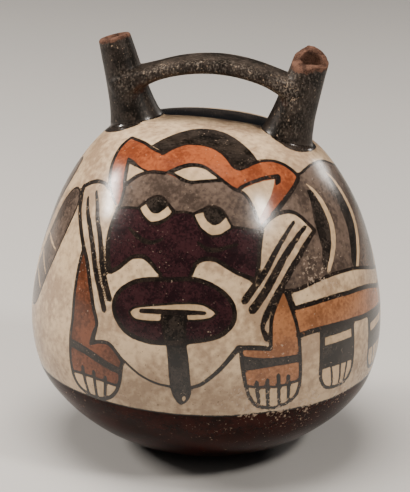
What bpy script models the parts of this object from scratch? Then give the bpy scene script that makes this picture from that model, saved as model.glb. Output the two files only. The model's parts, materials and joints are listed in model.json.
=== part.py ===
"""A double-spout bottle with a strap bridge: a hollow fired clay vessel, painted with slips and burnished.

The round body is turned from one outline, a little lower at the right shoulder than at the left one.
Two leaning spouts stand on the shoulder, each open down to the inside, and a flat strap bridges them.
The left spout keeps its rim; the right one has lost its tip to an old break, which is kept.
The bottle is parted just above its widest place, so that each solid is open on one side.
Metres, +Z up, +X from the left spout to the right one, origin in the middle of the flat that it rests on.
"""

import math
from dataclasses import dataclass

import bmesh
import bpy
from mathutils import Matrix, Vector, noise

# Body: its size outside, the flat that it rests on, and its wall
BODY_DIAMETER = 0.150
BODY_HEIGHT = 0.142
FOOT_DIAMETER = 0.040
BODY_WALL = 0.005
# The plane where the solids are parted, and the gap between them there
PARTING_HEIGHT = 0.0605
PARTING_GAP = 0.0003
# The outline between the flat and the crown, as shares of the body's radius and height
BODY_OUTLINE = (
    (0.440, 0.022),
    (0.660, 0.082),
    (0.853, 0.170),
    (0.960, 0.262),
    (1.000, 0.400),
    (0.955, 0.572),
    (0.832, 0.764),
    (0.650, 0.912),
    (0.480, 0.970),
    (0.250, 0.994),
)
# How much lower the right side stands per metre from the axis: from just above the flat up, and at the crown
BODY_SLOPE = 0.015
CROWN_SLOPE = 0.035
SLOPE_START_SHARE = 0.17
CROWN_SLOPE_POWER = 4
BODY_SIDES = 64
BODY_RINGS = 34
CAVITY_SIDES = 40
CAVITY_RINGS = 22

# Spouts: where each axis meets the shoulder, how it leans outwards, and its length from there when whole
LEFT_FOOT_X = -0.0335
LEFT_LEAN = math.radians(16.8)
LEFT_LENGTH = 0.0360
RIGHT_FOOT_X = 0.0310
RIGHT_LEAN = math.radians(14.8)
RIGHT_LENGTH = 0.0440
SPOUT_TIP_DIAMETER = 0.0135
SPOUT_FOOT_DIAMETER = 0.0190
SPOUT_WALL = 0.0020
FLARE_WIDTH = 0.0040
FLARE_HEIGHT = 0.0060
RIM_ROUNDING = 0.0010
RIM_STEPS = 3
SPOUT_SIDES = 28
SPOUT_RINGS = 12
BORE_RINGS = 5
BORE_OVERRUN = 0.004
# Rings stand closer together near the shoulder, where the flare bends
SPOUT_RING_POWER = 1.3
BORE_RING_POWER = 1.5
SPOUT_SEAM = math.radians(4)
BORE_SEAM = math.radians(9)

# Strap bridge: a flat bar with rounded edges, arched from axis to axis
STRAP_WIDTH = 0.0190
STRAP_THICKNESS = 0.0068
STRAP_EDGE_POWER = 0.6
STRAP_RISE = 0.0105
STRAP_ALONG_LEFT = 0.0155
STRAP_ALONG_RIGHT = 0.0190
# How far the strap's ends stand out in front of each spout, where the clay was smeared on, or stay inside it
LEFT_SMEAR = 0.0010
RIGHT_SMEAR = -0.0006
STRAP_BLEND = 0.0140
STRAP_ROOT_SWELL = 0.0032
STRAP_SWELL_REACH = 0.0160
# The strap ends inside each spout, this share of the spout's radius past its axis
STRAP_END_SHARE = 0.55
STRAP_SECTIONS = 26
STRAP_SIDES = 16

# The break at the right spout's tip: its middle's depth under the whole tip, its slant, the way it faces,
# how steeply it falls off on both sides of its crest, and its crumbled surface
BREAK_DEPTH = 0.0085
BREAK_SLANT = math.radians(27)
BREAK_TURN = math.radians(-66)
BREAK_CREST_SLOPE = 0.35
BREAK_CREST_ROUNDING = 0.0012
BREAK_ROUGHNESS = 0.0009
BREAK_GRAIN = 0.0037
BREAK_CELLS = 10
BREAK_GRAIN_SHIFT = Vector((3.5, 7.7, 1.3))

# Burnished cream slip
CLAY_COLOUR = (0.62, 0.50, 0.38, 1.0)
CLAY_ROUGHNESS = 0.35

MERGE_DISTANCE = 0.00001
SHARP_ANGLE = math.radians(40)
OUTLINE_STEPS = 200


@dataclass(frozen=True)
class Spout:
    """One spout: which way it leans, where it stands, its length when whole, and how the strap meets it."""

    name: str
    side: int
    foot_x: float
    lean: float
    length: float
    strap_along: float
    smear: float

    def foot(self):
        """Where the spout's axis meets the shoulder."""
        return Vector((self.foot_x, 0.0, shoulder_height(self.foot_x)))

    def axis(self):
        """The direction of the spout's axis, upwards and outwards."""
        return Vector((self.side * math.sin(self.lean), 0.0, math.cos(self.lean)))

    def point(self, along):
        """A point of the spout's axis at a distance from the shoulder."""
        return self.foot() + self.axis() * along

    def radius(self, along):
        """Outer radius at a distance along the axis from the shoulder, without the rounding of the rim."""
        tip, foot = SPOUT_TIP_DIAMETER / 2, SPOUT_FOOT_DIAMETER / 2
        taper = foot + (tip - foot) * max(along, 0.0) / self.length
        return taper + FLARE_WIDTH * math.exp(-max(along + BODY_WALL, 0.0) / FLARE_HEIGHT)


LEFT_SPOUT = Spout(
    "left_spout", -1, LEFT_FOOT_X, LEFT_LEAN, LEFT_LENGTH, STRAP_ALONG_LEFT, LEFT_SMEAR
)
RIGHT_SPOUT = Spout(
    "right_spout", 1, RIGHT_FOOT_X, RIGHT_LEAN, RIGHT_LENGTH, STRAP_ALONG_RIGHT, RIGHT_SMEAR
)


def smooth_line(points, steps):
    """Points on a smooth curve through the given ones, evenly spaced in the curve's own parameter."""
    line = []
    spans = len(points) - 1
    for i in range(steps + 1):
        t = spans * i / steps
        k = min(int(t), spans - 1)
        u = t - k
        a, b = points[max(k - 1, 0)], points[k]
        c, d = points[k + 1], points[min(k + 2, spans)]
        pull = (c - a) * u
        bend = (2 * a - 5 * b + 4 * c - d) * u**2
        turn = (3 * b - a - 3 * c + d) * u**3
        line.append(b + (pull + bend + turn) / 2)
    return line


def body_line(steps):
    """The body's outline from the flat's edge up to the middle of the crown, as (radius, height)."""
    points = [Vector((FOOT_DIAMETER / 2, 0.0))]
    points += [Vector((BODY_DIAMETER / 2 * r, BODY_HEIGHT * h)) for r, h in BODY_OUTLINE]
    points.append(Vector((0.0, BODY_HEIGHT)))
    return smooth_line(points, steps)


def inward(line, wall):
    """The same outline moved inwards by a wall, and no lower than the wall's own thickness."""
    moved = []
    last = len(line) - 1
    for i, point in enumerate(line):
        along = line[min(i + 1, last)] - line[max(i - 1, 0)]
        normal = Vector((along.y, -along.x)).normalized() if i < last else Vector((0.0, 1.0))
        inner = point - normal * wall
        moved.append(Vector((max(inner.x, 0.0), max(inner.y, wall))))
    return moved


def dropped(x, z):
    """Height of a body point once the right side stands lower."""
    share = max(z, 0.0) / BODY_HEIGHT
    slope = BODY_SLOPE * min(share / SLOPE_START_SHARE, 1.0) + CROWN_SLOPE * share**CROWN_SLOPE_POWER
    return z - x * slope


def shoulder_height(x):
    """Height of the body's outer surface over a point of the spouts' plane."""
    line = body_line(OUTLINE_STEPS)
    inner = next(i for i, p in enumerate(line) if p.x < abs(x) and p.y > BODY_HEIGHT / 2)
    low, high = line[inner - 1], line[inner]
    share = (low.x - abs(x)) / (low.x - high.x)
    return dropped(x, low.y + (high.y - low.y) * share)


def new_object(name, bm):
    """A mesh object from a bmesh, with its faces pointing out."""
    bmesh.ops.recalc_face_normals(bm, faces=bm.faces)
    mesh = bpy.data.meshes.new(name)
    bm.to_mesh(mesh)
    bm.free()
    obj = bpy.data.objects.new(name, mesh)
    bpy.context.scene.collection.objects.link(obj)
    return obj


def turned(name, line, sides, seam=0.0):
    """A solid of revolution about Z from (radius, height) points that start and end on the axis.

    Its seam stands at an angle of its own, so that the corners of joined shapes never coincide.
    """
    bm = bmesh.new()
    verts = [bm.verts.new((p.x * math.cos(seam), p.x * math.sin(seam), p.y)) for p in line]
    edges = [bm.edges.new(pair) for pair in zip(verts, verts[1:])]
    bmesh.ops.spin(
        bm,
        geom=verts + edges,
        axis=(0, 0, 1),
        cent=(0, 0, 0),
        steps=sides,
        angle=2 * math.pi,
        use_merge=True,
    )
    bmesh.ops.remove_doubles(bm, verts=bm.verts, dist=MERGE_DISTANCE)
    return new_object(name, bm)


def lofted(name, rings):
    """A solid through rings of points, closed at both ends."""
    bm = bmesh.new()
    loops = [[bm.verts.new(p) for p in ring] for ring in rings]
    for low, high in zip(loops, loops[1:]):
        for i in range(len(low)):
            j = (i + 1) % len(low)
            bm.faces.new((low[i], low[j], high[j], high[i]))
    bm.faces.new(loops[0])
    bm.faces.new(loops[-1])
    return new_object(name, bm)


def make_body(name):
    """The outside of the round body, filled."""
    line = [Vector((0.0, 0.0))] + body_line(BODY_RINGS)
    body = turned(name, line, BODY_SIDES)
    for vert in body.data.vertices:
        vert.co.z = dropped(vert.co.x, vert.co.z)
    return body


def make_cavity():
    """The hollow of the body, one wall inside it."""
    line = [Vector((0.0, BODY_WALL))] + inward(body_line(CAVITY_RINGS), BODY_WALL)
    cavity = turned("cavity", line, CAVITY_SIDES)
    for vert in cavity.data.vertices:
        vert.co.z = dropped(vert.co.x, vert.co.z)
    return cavity


def make_block(name, low, high):
    """A plain block that takes away all of the body between two heights."""
    bm = bmesh.new()
    bmesh.ops.create_cube(bm, size=1.0)
    bmesh.ops.scale(bm, verts=bm.verts, vec=(2 * BODY_DIAMETER, 2 * BODY_DIAMETER, high - low))
    bmesh.ops.translate(bm, verts=bm.verts, vec=(0.0, 0.0, (low + high) / 2))
    return new_object(name, bm)


def stand(obj, spout):
    """Turns an object made along +Z onto a spout's axis, with its origin where that meets the shoulder."""
    turn = Vector((0, 0, 1)).rotation_difference(spout.axis()).to_matrix().to_4x4()
    obj.data.transform(Matrix.Translation(spout.foot()) @ turn)


def make_spout(spout):
    """The outside of one spout, from under the shoulder to its rim."""
    low = -2 * BODY_WALL
    line = [Vector((0.0, low))]
    for i in range(SPOUT_RINGS + 1):
        along = low + (spout.length - RIM_ROUNDING - low) * (i / SPOUT_RINGS) ** SPOUT_RING_POWER
        line.append(Vector((spout.radius(along), along)))
    for i in range(1, RIM_STEPS + 1):
        turn = math.pi / 2 * i / RIM_STEPS
        inset = RIM_ROUNDING * (1 - math.cos(turn))
        drop = RIM_ROUNDING * (1 - math.sin(turn))
        line.append(Vector((spout.radius(spout.length) - inset, spout.length - drop)))
    line.append(Vector((0.0, spout.length)))
    obj = turned(spout.name, line, SPOUT_SIDES, SPOUT_SEAM)
    stand(obj, spout)
    return obj


def make_bore(spout):
    """The open channel of one spout, one wall inside it, from past its rim down into the cavity."""
    low, high = -BODY_WALL, spout.length - 2 * RIM_ROUNDING
    line = [Vector((0.0, 2 * low)), Vector((spout.radius(low) - SPOUT_WALL, 2 * low))]
    for i in range(BORE_RINGS + 1):
        along = low + (high - low) * (i / BORE_RINGS) ** BORE_RING_POWER
        line.append(Vector((spout.radius(along) - SPOUT_WALL, along)))
    line.append(Vector((spout.radius(high) - SPOUT_WALL, spout.length + BORE_OVERRUN)))
    line.append(Vector((0.0, spout.length + BORE_OVERRUN)))
    obj = turned(spout.name + "_bore", line, SPOUT_SIDES, BORE_SEAM)
    stand(obj, spout)
    return obj


def strap_section(inside, spout):
    """Half the strap's width and thickness at a distance towards its middle from a spout's axis.

    It widens out from the spout and swells where it joins it, and past the axis it rounds off.
    """
    radius = spout.radius(spout.strap_along)
    root = radius + spout.smear
    if inside < 0:
        end = math.sqrt(1 - (inside / radius) ** 2)
        return root * end, (STRAP_THICKNESS / 2 + STRAP_ROOT_SWELL) * end
    share = min(inside / STRAP_BLEND, 1.0)
    half_width = root + (STRAP_WIDTH / 2 - root) * share * share * (3 - 2 * share)
    swell = STRAP_ROOT_SWELL * max(1 - inside / STRAP_SWELL_REACH, 0.0) ** 2
    return half_width, STRAP_THICKNESS / 2 + swell


def strap_ring(centre, up, half_width, half_height):
    """One flat, round-edged section of the strap."""
    ring = []
    for k in range(STRAP_SIDES):
        turn = 2 * math.pi * k / STRAP_SIDES
        out = math.copysign(abs(math.cos(turn)) ** STRAP_EDGE_POWER, math.cos(turn))
        rise = math.copysign(abs(math.sin(turn)) ** STRAP_EDGE_POWER, math.sin(turn))
        ring.append(centre + Vector((0, out * half_width, 0)) + up * rise * half_height)
    return ring


def make_strap():
    """The arched bar between the spouts, swelling where it runs into them and wrapping round each."""
    start = LEFT_SPOUT.point(LEFT_SPOUT.strap_along)
    end = RIGHT_SPOUT.point(RIGHT_SPOUT.strap_along)
    span = (end - start).length
    low = -STRAP_END_SHARE * LEFT_SPOUT.radius(LEFT_SPOUT.strap_along)
    high = span + STRAP_END_SHARE * RIGHT_SPOUT.radius(RIGHT_SPOUT.strap_along)
    rings = []
    for i in range(STRAP_SECTIONS + 1):
        along = low + (high - low) * (1 - math.cos(math.pi * i / STRAP_SECTIONS)) / 2
        share = along / span
        centre = start.lerp(end, share)
        centre.z += STRAP_RISE * (1 - (2 * share - 1) ** 2)
        climb = 4 * STRAP_RISE * (1 - 2 * share) / span
        slope = (end - start) / span + Vector((0.0, 0.0, climb))
        up = Vector((-slope.z, 0.0, slope.x)).normalized()
        if share < 0.5:
            section = strap_section(along, LEFT_SPOUT)
        else:
            section = strap_section(span - along, RIGHT_SPOUT)
        rings.append(strap_ring(centre, up, *section))
    return lofted("strap", rings)


def make_break():
    """A rough block that takes the tip off the right spout along a slanting, crested, crumbled face."""
    side = 2 * SPOUT_TIP_DIAMETER
    bm = bmesh.new()
    bmesh.ops.create_grid(bm, x_segments=BREAK_CELLS, y_segments=BREAK_CELLS, size=side / 2)
    for vert in bm.verts:
        off_crest = math.hypot(vert.co.y, BREAK_CREST_ROUNDING) - BREAK_CREST_ROUNDING
        crumbs = BREAK_ROUGHNESS * noise.noise(vert.co / BREAK_GRAIN + BREAK_GRAIN_SHIFT)
        vert.co.z = crumbs - BREAK_CREST_SLOPE * off_crest
    made = bmesh.ops.extrude_face_region(bm, geom=bm.faces[:])
    for vert in made["geom"]:
        if isinstance(vert, bmesh.types.BMVert):
            vert.co.z = side
    cutter = new_object("break", bm)
    tilt = Matrix.Rotation(BREAK_TURN, 4, "Z") @ Matrix.Rotation(BREAK_SLANT, 4, "Y")
    place = RIGHT_SPOUT.point(RIGHT_SPOUT.length - BREAK_DEPTH)
    cutter.data.transform(Matrix.Translation(place) @ tilt)
    return cutter


def combine(obj, other, operation):
    """Adds one Boolean to the object and hides the other shape as a helper."""
    modifier = obj.modifiers.new(other.name, "BOOLEAN")
    modifier.operation = operation
    modifier.object = other
    other.hide_render = True
    other.display_type = "WIRE"


def painted_clay():
    """Cream slip over fired clay, burnished to a soft shine."""
    material = bpy.data.materials.get("painted_clay") or bpy.data.materials.new("painted_clay")
    material.use_nodes = True
    shader = material.node_tree.nodes["Principled BSDF"]
    shader.inputs["Base Color"].default_value = CLAY_COLOUR
    shader.inputs["Roughness"].default_value = CLAY_ROUGHNESS
    shader.inputs["Metallic"].default_value = 0.0
    return material


def finished(obj):
    """Gives a solid its clay and smooth shading."""
    obj.data.materials.append(painted_clay())
    obj.data.shade_smooth()
    obj.data.set_sharp_from_angle(angle=SHARP_ANGLE)


def make_lower_body(cavity):
    """The hollow lower half of the body, from the flat up to the parting plane."""
    lower = make_body("lower_body")
    combine(lower, cavity, "DIFFERENCE")
    top = PARTING_HEIGHT - PARTING_GAP / 2
    combine(lower, make_block("above_parting", top, 2 * BODY_HEIGHT), "DIFFERENCE")
    finished(lower)


def make_upper_body(cavity):
    """The hollow upper half of the body with its spouts, their bores, the strap and the break."""
    upper = make_body("upper_body")
    for spout in (LEFT_SPOUT, RIGHT_SPOUT):
        combine(upper, make_spout(spout), "UNION")
    combine(upper, make_strap(), "UNION")
    combine(upper, cavity, "DIFFERENCE")
    for spout in (LEFT_SPOUT, RIGHT_SPOUT):
        combine(upper, make_bore(spout), "DIFFERENCE")
    combine(upper, make_break(), "DIFFERENCE")
    bottom = PARTING_HEIGHT + PARTING_GAP / 2
    combine(upper, make_block("below_parting", -BODY_HEIGHT, bottom), "DIFFERENCE")
    finished(upper)


def main():
    """Builds the bottle in an empty scene."""
    for old in list(bpy.data.objects):
        bpy.data.objects.remove(old)
    cavity = make_cavity()
    make_lower_body(cavity)
    make_upper_body(cavity)


main()
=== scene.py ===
"""The painted double-spout bottle, dressed over its solids: one fine clay piece, its picture, its wear.

The piece has the outline of the solids that it stands for. Only its bores are narrower, because its spouts'
walls are thicker than the solids'. Its picture is held as distances: for each slip, every point of the surface
knows how many millimetres it lies inside that slip's edge. The clay's material turns these distances into
brushed, worn paint.
"""

import json
import logging
import math
from dataclasses import dataclass, field
from enum import Enum

import bpy
import numpy as np
from mathutils import Matrix, Vector, noise

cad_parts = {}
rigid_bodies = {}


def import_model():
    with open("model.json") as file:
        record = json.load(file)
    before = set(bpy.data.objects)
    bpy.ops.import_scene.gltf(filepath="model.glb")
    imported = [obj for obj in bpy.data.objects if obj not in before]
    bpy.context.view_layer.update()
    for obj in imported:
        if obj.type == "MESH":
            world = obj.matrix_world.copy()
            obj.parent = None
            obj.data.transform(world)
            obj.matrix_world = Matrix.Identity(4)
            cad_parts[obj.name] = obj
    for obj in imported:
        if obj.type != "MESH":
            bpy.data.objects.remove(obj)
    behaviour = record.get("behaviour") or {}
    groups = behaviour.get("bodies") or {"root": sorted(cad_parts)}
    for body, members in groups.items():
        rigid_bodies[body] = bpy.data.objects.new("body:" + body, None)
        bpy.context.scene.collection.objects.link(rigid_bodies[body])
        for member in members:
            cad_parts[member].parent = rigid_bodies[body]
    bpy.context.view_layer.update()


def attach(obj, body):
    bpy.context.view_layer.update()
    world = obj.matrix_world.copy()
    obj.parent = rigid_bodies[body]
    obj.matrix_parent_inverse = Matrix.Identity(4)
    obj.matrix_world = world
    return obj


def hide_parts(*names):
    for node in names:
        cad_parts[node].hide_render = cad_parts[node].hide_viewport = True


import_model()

LOG = logging.getLogger("bottle")
PIECE = "painted_bottle"
MM = 0.001
TINY = 1e-9
Points = tuple[tuple[float, float], ...]
Numbers = float | np.ndarray
Limits = tuple[float, float]
Shade = bpy.types.Node | bpy.types.NodeSocket | float


class Slip(Enum):
    """The slips and bare clay, each named as its attribute on the mesh, in painting order."""

    RED = "base_red"
    ORANGE = "orange"
    # The left arm's slip: a darker arm colour, painted shade on the body's left side.
    ARM_IN_SHADE = "arm_in_shade"
    OCHRE = "ochre"
    UMBER = "grey_umber"
    MAROON = "maroon"
    SOOT = "soot_black"
    CREAM = "cream_over"
    INK = "ink_over"
    CLAY = "bare_clay"


class Chart(Enum):
    """How a motif's points are given on the body."""

    WRAP = "degrees round from the middle of the face, millimetres up the outline"
    PLAN = "millimetres right of and behind the axis, seen from above"


class Trace(Enum):
    """What the mesh keeps beside the slips: the nearest black line, where the paint is worn or thin, and where
    the strap is rubbed, darkest on its underside as painted shade.
    """

    LINE = "brush_line"
    WEAR = "wear"
    BRUSHED = "brushed"
    RUBBED_AND_SHADED = "rubbed"


def linear(hex_colour: str) -> tuple[float, float, float, float]:
    """Turns an sRGB hex colour into linear RGBA.

    Args:
        hex_colour: Six hex digits, such as "C8A880".

    Returns:
        The linear colour with full alpha.
    """
    shares = [int(hex_colour[i : i + 2], 16) / 255 for i in (0, 2, 4)]
    curve = [s / 12.92 if s <= 0.04045 else ((s + 0.055) / 1.055) ** 2.4 for s in shares]
    return (*curve, 1.0)


def add_node(
    tree: bpy.types.NodeTree, kind: str, inputs: dict | tuple = (), **settings: object
) -> bpy.types.Node:
    """Adds a shader node with its settings, values and links.

    Args:
        tree: The node tree that it joins.
        kind: The node's type name without its ShaderNode prefix.
        inputs: A value, a socket, or a node for its result, for each input by name or number, or in order.
        **settings: The node's own properties.

    Returns:
        The new node.
    """
    made = tree.nodes.new("ShaderNode" + kind)
    for name, value in settings.items():
        setattr(made, name, value)
    for socket, value in inputs.items() if isinstance(inputs, dict) else enumerate(inputs):
        if isinstance(value, bpy.types.Node):
            value = next(output for output in value.outputs if output.enabled)
        if isinstance(value, bpy.types.NodeSocket):
            tree.links.new(value, made.inputs[socket])
        else:
            made.inputs[socket].default_value = value
    return made


def curve_through(points: list[Vector], steps: int, closed: bool) -> list[Vector]:
    """A smooth curve through points; a point given twice in a row makes a corner.

    Args:
        points: The points to pass through, in order.
        steps: How many pieces each span is cut into.
        closed: Whether the curve runs back to its first point.

    Returns:
        The curve's points, without its first one again at the end when it is closed.
    """
    count = len(points)
    spans = count if closed else count - 1
    line = []
    for k in range(spans):
        places = range(k - 1, k + 3)
        a, b, c, d = (points[i % count] if closed else points[min(max(i, 0), count - 1)] for i in places)
        if (b - c).length < TINY:
            continue
        for i in range(steps):
            u = i / steps
            pull = (c - a) * u
            bend = (2 * a - 5 * b + 4 * c - d) * u**2
            turn = (3 * b - a - 3 * c + d) * u**3
            line.append(b + (pull + bend + turn) / 2)
    if not closed:
        line.append(points[-1])
    return line


def select_only(obj: bpy.types.Object) -> None:
    """Makes one object the only selected one and the active one.

    Args:
        obj: The object.
    """
    for other in bpy.context.view_layer.objects:
        other.select_set(False)
    obj.select_set(True)
    bpy.context.view_layer.objects.active = obj


def apply_modifier(obj: bpy.types.Object, kind: str, **settings: object) -> None:
    """Adds a modifier with its settings and applies it.

    Args:
        obj: The object that it changes.
        kind: The modifier's type name.
        **settings: The modifier's own properties.
    """
    modifier = obj.modifiers.new(kind.lower(), kind)
    for name, value in settings.items():
        setattr(modifier, name, value)
    select_only(obj)
    bpy.ops.object.modifier_apply(modifier=modifier.name)


def places_of(obj: bpy.types.Object) -> np.ndarray:
    """The places of a mesh's vertices.

    Args:
        obj: The mesh object.

    Returns:
        The places, one row each.
    """
    co = np.empty(len(obj.data.vertices) * 3)
    obj.data.vertices.foreach_get("co", co)
    return co.reshape(-1, 3)


def put_places(obj: bpy.types.Object, co: np.ndarray) -> None:
    """Moves a mesh's vertices.

    Args:
        obj: The mesh object.
        co: Their new places, one row each.
    """
    obj.data.vertices.foreach_set("co", co.ravel())
    obj.data.update()


@dataclass(frozen=True)
class BodyForm:
    """The round body: its outline as shares of its radius and height, and its lower right side."""

    diameter: float = 0.150
    height: float = 0.142
    foot: float = 0.040
    wall: float = 0.005
    shares: Points = (
        (0.440, 0.022),
        (0.660, 0.082),
        (0.853, 0.170),
        (0.960, 0.262),
        (1.000, 0.400),
        (0.955, 0.572),
        (0.832, 0.764),
        (0.650, 0.912),
        (0.480, 0.970),
        (0.250, 0.994),
    )
    slope: float = 0.015
    crown_slope: float = 0.035
    slope_start: float = 0.17
    crown_power: int = 4
    chart_centre: float = 0.066
    lean_rounds: int = 5
    chart_steps: int = 24
    shoulder_steps: int = 20

    def line(self, steps: int) -> list[Vector]:
        """The outline from the flat's edge up to the middle of the crown.

        Args:
            steps: How many pieces each span between two given points is cut into.

        Returns:
            The outline's (radius, height) points.
        """
        points = [Vector((self.foot / 2, 0.0))]
        points += [Vector((self.diameter / 2 * r, self.height * h)) for r, h in self.shares]
        points.append(Vector((0.0, self.height)))
        return curve_through(points, steps, closed=False)

    def inner_line(self, steps: int) -> list[Vector]:
        """The outline moved inwards by the wall.

        Args:
            steps: How many pieces each span is cut into.

        Returns:
            The inner outline's (radius, height) points, from the inner floor's edge up to the axis.
        """
        line = self.line(steps)
        moved = []
        for i, point in enumerate(line):
            along = line[min(i + 1, len(line) - 1)] - line[max(i - 1, 0)]
            normal = Vector((along.y, -along.x)).normalized() if point.x > 0 else Vector((0.0, 1.0))
            inner = point - normal * self.wall
            if inner.y > self.wall:
                moved.append(Vector((max(inner.x, 0.0), inner.y)))
        return [Vector((self.foot / 2, self.wall))] + moved

    def fall(self, height: Numbers) -> Numbers:
        """How much lower the surface stands for each metre to the right.

        Args:
            height: The height above the foot.

        Returns:
            The fall there.
        """
        share = np.clip(height, 0.0, None) / self.height
        low = self.slope * np.minimum(share / self.slope_start, 1.0)
        return low + self.crown_slope * share**self.crown_power

    def lean(self, co: np.ndarray) -> np.ndarray:
        """Lowers the right side of an upright body.

        Args:
            co: The body's points, one row each.

        Returns:
            The lowered points.
        """
        moved = co.copy()
        moved[:, 2] -= co[:, 0] * self.fall(co[:, 2])
        return moved

    def upright(self, co: np.ndarray) -> np.ndarray:
        """Undoes lean.

        Args:
            co: The leaning body's points, one row each.

        Returns:
            The upright points.
        """
        moved = co.copy()
        for _ in range(self.lean_rounds):
            moved[:, 2] = co[:, 2] + co[:, 0] * self.fall(moved[:, 2])
        return moved

    def top_at(self, x: float) -> float:
        """Height of the shoulder in the spouts' plane.

        Args:
            x: How far to the right of the axis.

        Returns:
            The shoulder's height there.
        """
        line = [p for p in self.line(self.shoulder_steps) if p.y > self.height / 2]
        radii = [p.x for p in reversed(line)]
        heights = [p.y for p in reversed(line)]
        height = float(np.interp(abs(x), radii, heights))
        return height - x * float(self.fall(height))

    def polar(self, upright: np.ndarray) -> tuple[np.ndarray, np.ndarray, np.ndarray]:
        """Compares upright points with the outline, seen from a point on the axis half way up.

        Args:
            upright: The points, one row each.

        Returns:
            Each point's distance up the outline, its distance from the centre, and the outline's there.
        """
        line = np.array([(p.x, p.y) for p in self.line(self.chart_steps)])
        steps = np.hypot(*np.diff(line, axis=0).T)
        climb = self.foot / 2 + np.concatenate([[0.0], np.cumsum(steps)])
        angle = np.arctan2(line[:, 1] - self.chart_centre, line[:, 0])
        reach = np.hypot(line[:, 1] - self.chart_centre, line[:, 0])
        out = np.hypot(upright[:, 0], upright[:, 1])
        up = upright[:, 2] - self.chart_centre
        own = np.arctan2(up, out)
        return np.interp(own, angle, climb), np.hypot(out, up), np.interp(own, angle, reach)


@dataclass(frozen=True)
class Spout:
    """One spout: which way it leans, where it stands and its length when whole."""

    body: BodyForm
    name: str
    side: int
    foot_x: float
    lean: float
    length: float
    tip_diameter: float = 0.0135
    foot_diameter: float = 0.0190
    wall: float = 0.0028
    flare_width: float = 0.0040
    flare_height: float = 0.0060
    rim_rounding: float = 0.0010

    def foot(self) -> Vector:
        """Where the axis meets the shoulder."""
        return Vector((self.foot_x, 0.0, self.body.top_at(self.foot_x)))

    def axis(self) -> Vector:
        """The direction of the axis, upwards and outwards."""
        return Vector((self.side * math.sin(self.lean), 0.0, math.cos(self.lean)))

    def point(self, along: float) -> Vector:
        """A point of the axis at a distance from the shoulder."""
        return self.foot() + self.axis() * along

    def radius(self, along: Numbers) -> Numbers:
        """Outer radius of the spout.

        Args:
            along: The distance along the axis from the shoulder.

        Returns:
            The radius there.
        """
        tip, foot = self.tip_diameter / 2, self.foot_diameter / 2
        taper = foot + (tip - foot) * np.maximum(along, 0.0) / self.length
        return taper + self.flare_width * np.exp(-np.maximum(along + self.body.wall, 0.0) / self.flare_height)

    def stand(self) -> Matrix:
        """The turn and place that put a shape made along +Z onto the axis."""
        turn = Vector((0, 0, 1)).rotation_difference(self.axis()).to_matrix().to_4x4()
        return Matrix.Translation(self.foot()) @ turn

    def local(self, co: np.ndarray) -> tuple[np.ndarray, np.ndarray]:
        """Distances of points along and away from the axis.

        Args:
            co: The points, one row each.

        Returns:
            The distances along the axis from the shoulder, and away from the axis.
        """
        axis = np.array(self.axis())
        off = co - np.array(self.foot())
        along = off @ axis
        return along, np.linalg.norm(off - along[:, None] * axis, axis=1)


@dataclass(frozen=True)
class Strap:
    """The arched bar between the spouts, smeared onto each of them."""

    left: Spout
    right: Spout
    width: float = 0.0190
    thickness: float = 0.0068
    edge_power: float = 0.6
    rise: float = 0.0105
    along_left: float = 0.0155
    along_right: float = 0.0190
    left_smear: float = 0.0010
    right_smear: float = -0.0006
    blend: float = 0.0140
    root_swell: float = 0.0032
    swell_reach: float = 0.0160
    end_share: float = 0.55
    free_margin: float = 0.06
    sections: int = 60
    sides: int = 36

    def section(self, inside: float, spout: Spout, along: float, smear: float) -> tuple[float, float]:
        """Half the width and thickness at a distance towards the middle from a spout's axis.

        Args:
            inside: The distance; below zero it is past the axis.
            spout: The nearer spout.
            along: Where on that spout's axis the strap joins it.
            smear: How far the strap's end stands out in front of that spout.

        Returns:
            Half the width and half the thickness.
        """
        radius = float(spout.radius(along))
        root = radius + smear
        if inside < 0:
            end = math.sqrt(max(1 - (inside / radius) ** 2, 0.0))
            return root * end, (self.thickness / 2 + self.root_swell) * end
        share = min(inside / self.blend, 1.0)
        half_width = root + (self.width / 2 - root) * share * share * (3 - 2 * share)
        swell = self.root_swell * max(1 - inside / self.swell_reach, 0.0) ** 2
        return half_width, self.thickness / 2 + swell

    def local(self, co: np.ndarray) -> tuple[np.ndarray, np.ndarray]:
        """Compares points with the strap's arched middle line.

        Args:
            co: The points, one row each.

        Returns:
            Which points lie on the free strap between the spouts, and how far below its middle each one is.
        """
        start, end = self.left.point(self.along_left), self.right.point(self.along_right)
        share = (co[:, 0] - start.x) / (end.x - start.x)
        arch = start.z + (end.z - start.z) * share + self.rise * (1 - (2 * share - 1) ** 2)
        fall = arch - co[:, 2]
        between = (share > self.free_margin) & (share < 1 - self.free_margin)
        free = between & (np.abs(fall) < self.thickness)
        return free, fall

    def place(self, co: np.ndarray) -> np.ndarray:
        """Puts the points of a unit rod along X, round in section, onto the strap.

        Args:
            co: The rod's points, one row each.

        Returns:
            Their places on the strap.
        """
        start = self.left.point(self.along_left)
        end = self.right.point(self.along_right)
        span = (end - start).length
        low = -self.end_share * float(self.left.radius(self.along_left))
        high = span + self.end_share * float(self.right.radius(self.along_right))
        placed = np.empty_like(co)
        for i, (x, y, z) in enumerate(co):
            along = low + (high - low) * (1 + x) / 2
            share = along / span
            centre = start.lerp(end, share)
            centre.z += self.rise * (1 - (2 * share - 1) ** 2)
            climb = 4 * self.rise * (1 - 2 * share) / span
            slope = (end - start) / span + Vector((0.0, 0.0, climb))
            up = Vector((-slope.z, 0.0, slope.x)).normalized()
            if share < 0.5:
                wide, tall = self.section(along, self.left, self.along_left, self.left_smear)
            else:
                wide, tall = self.section(span - along, self.right, self.along_right, self.right_smear)
            out = math.copysign(abs(y) ** self.edge_power, y)
            rise = math.copysign(abs(z) ** self.edge_power, z)
            placed[i] = centre + Vector((0, out * wide, 0)) + up * rise * tall
        return placed


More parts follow.
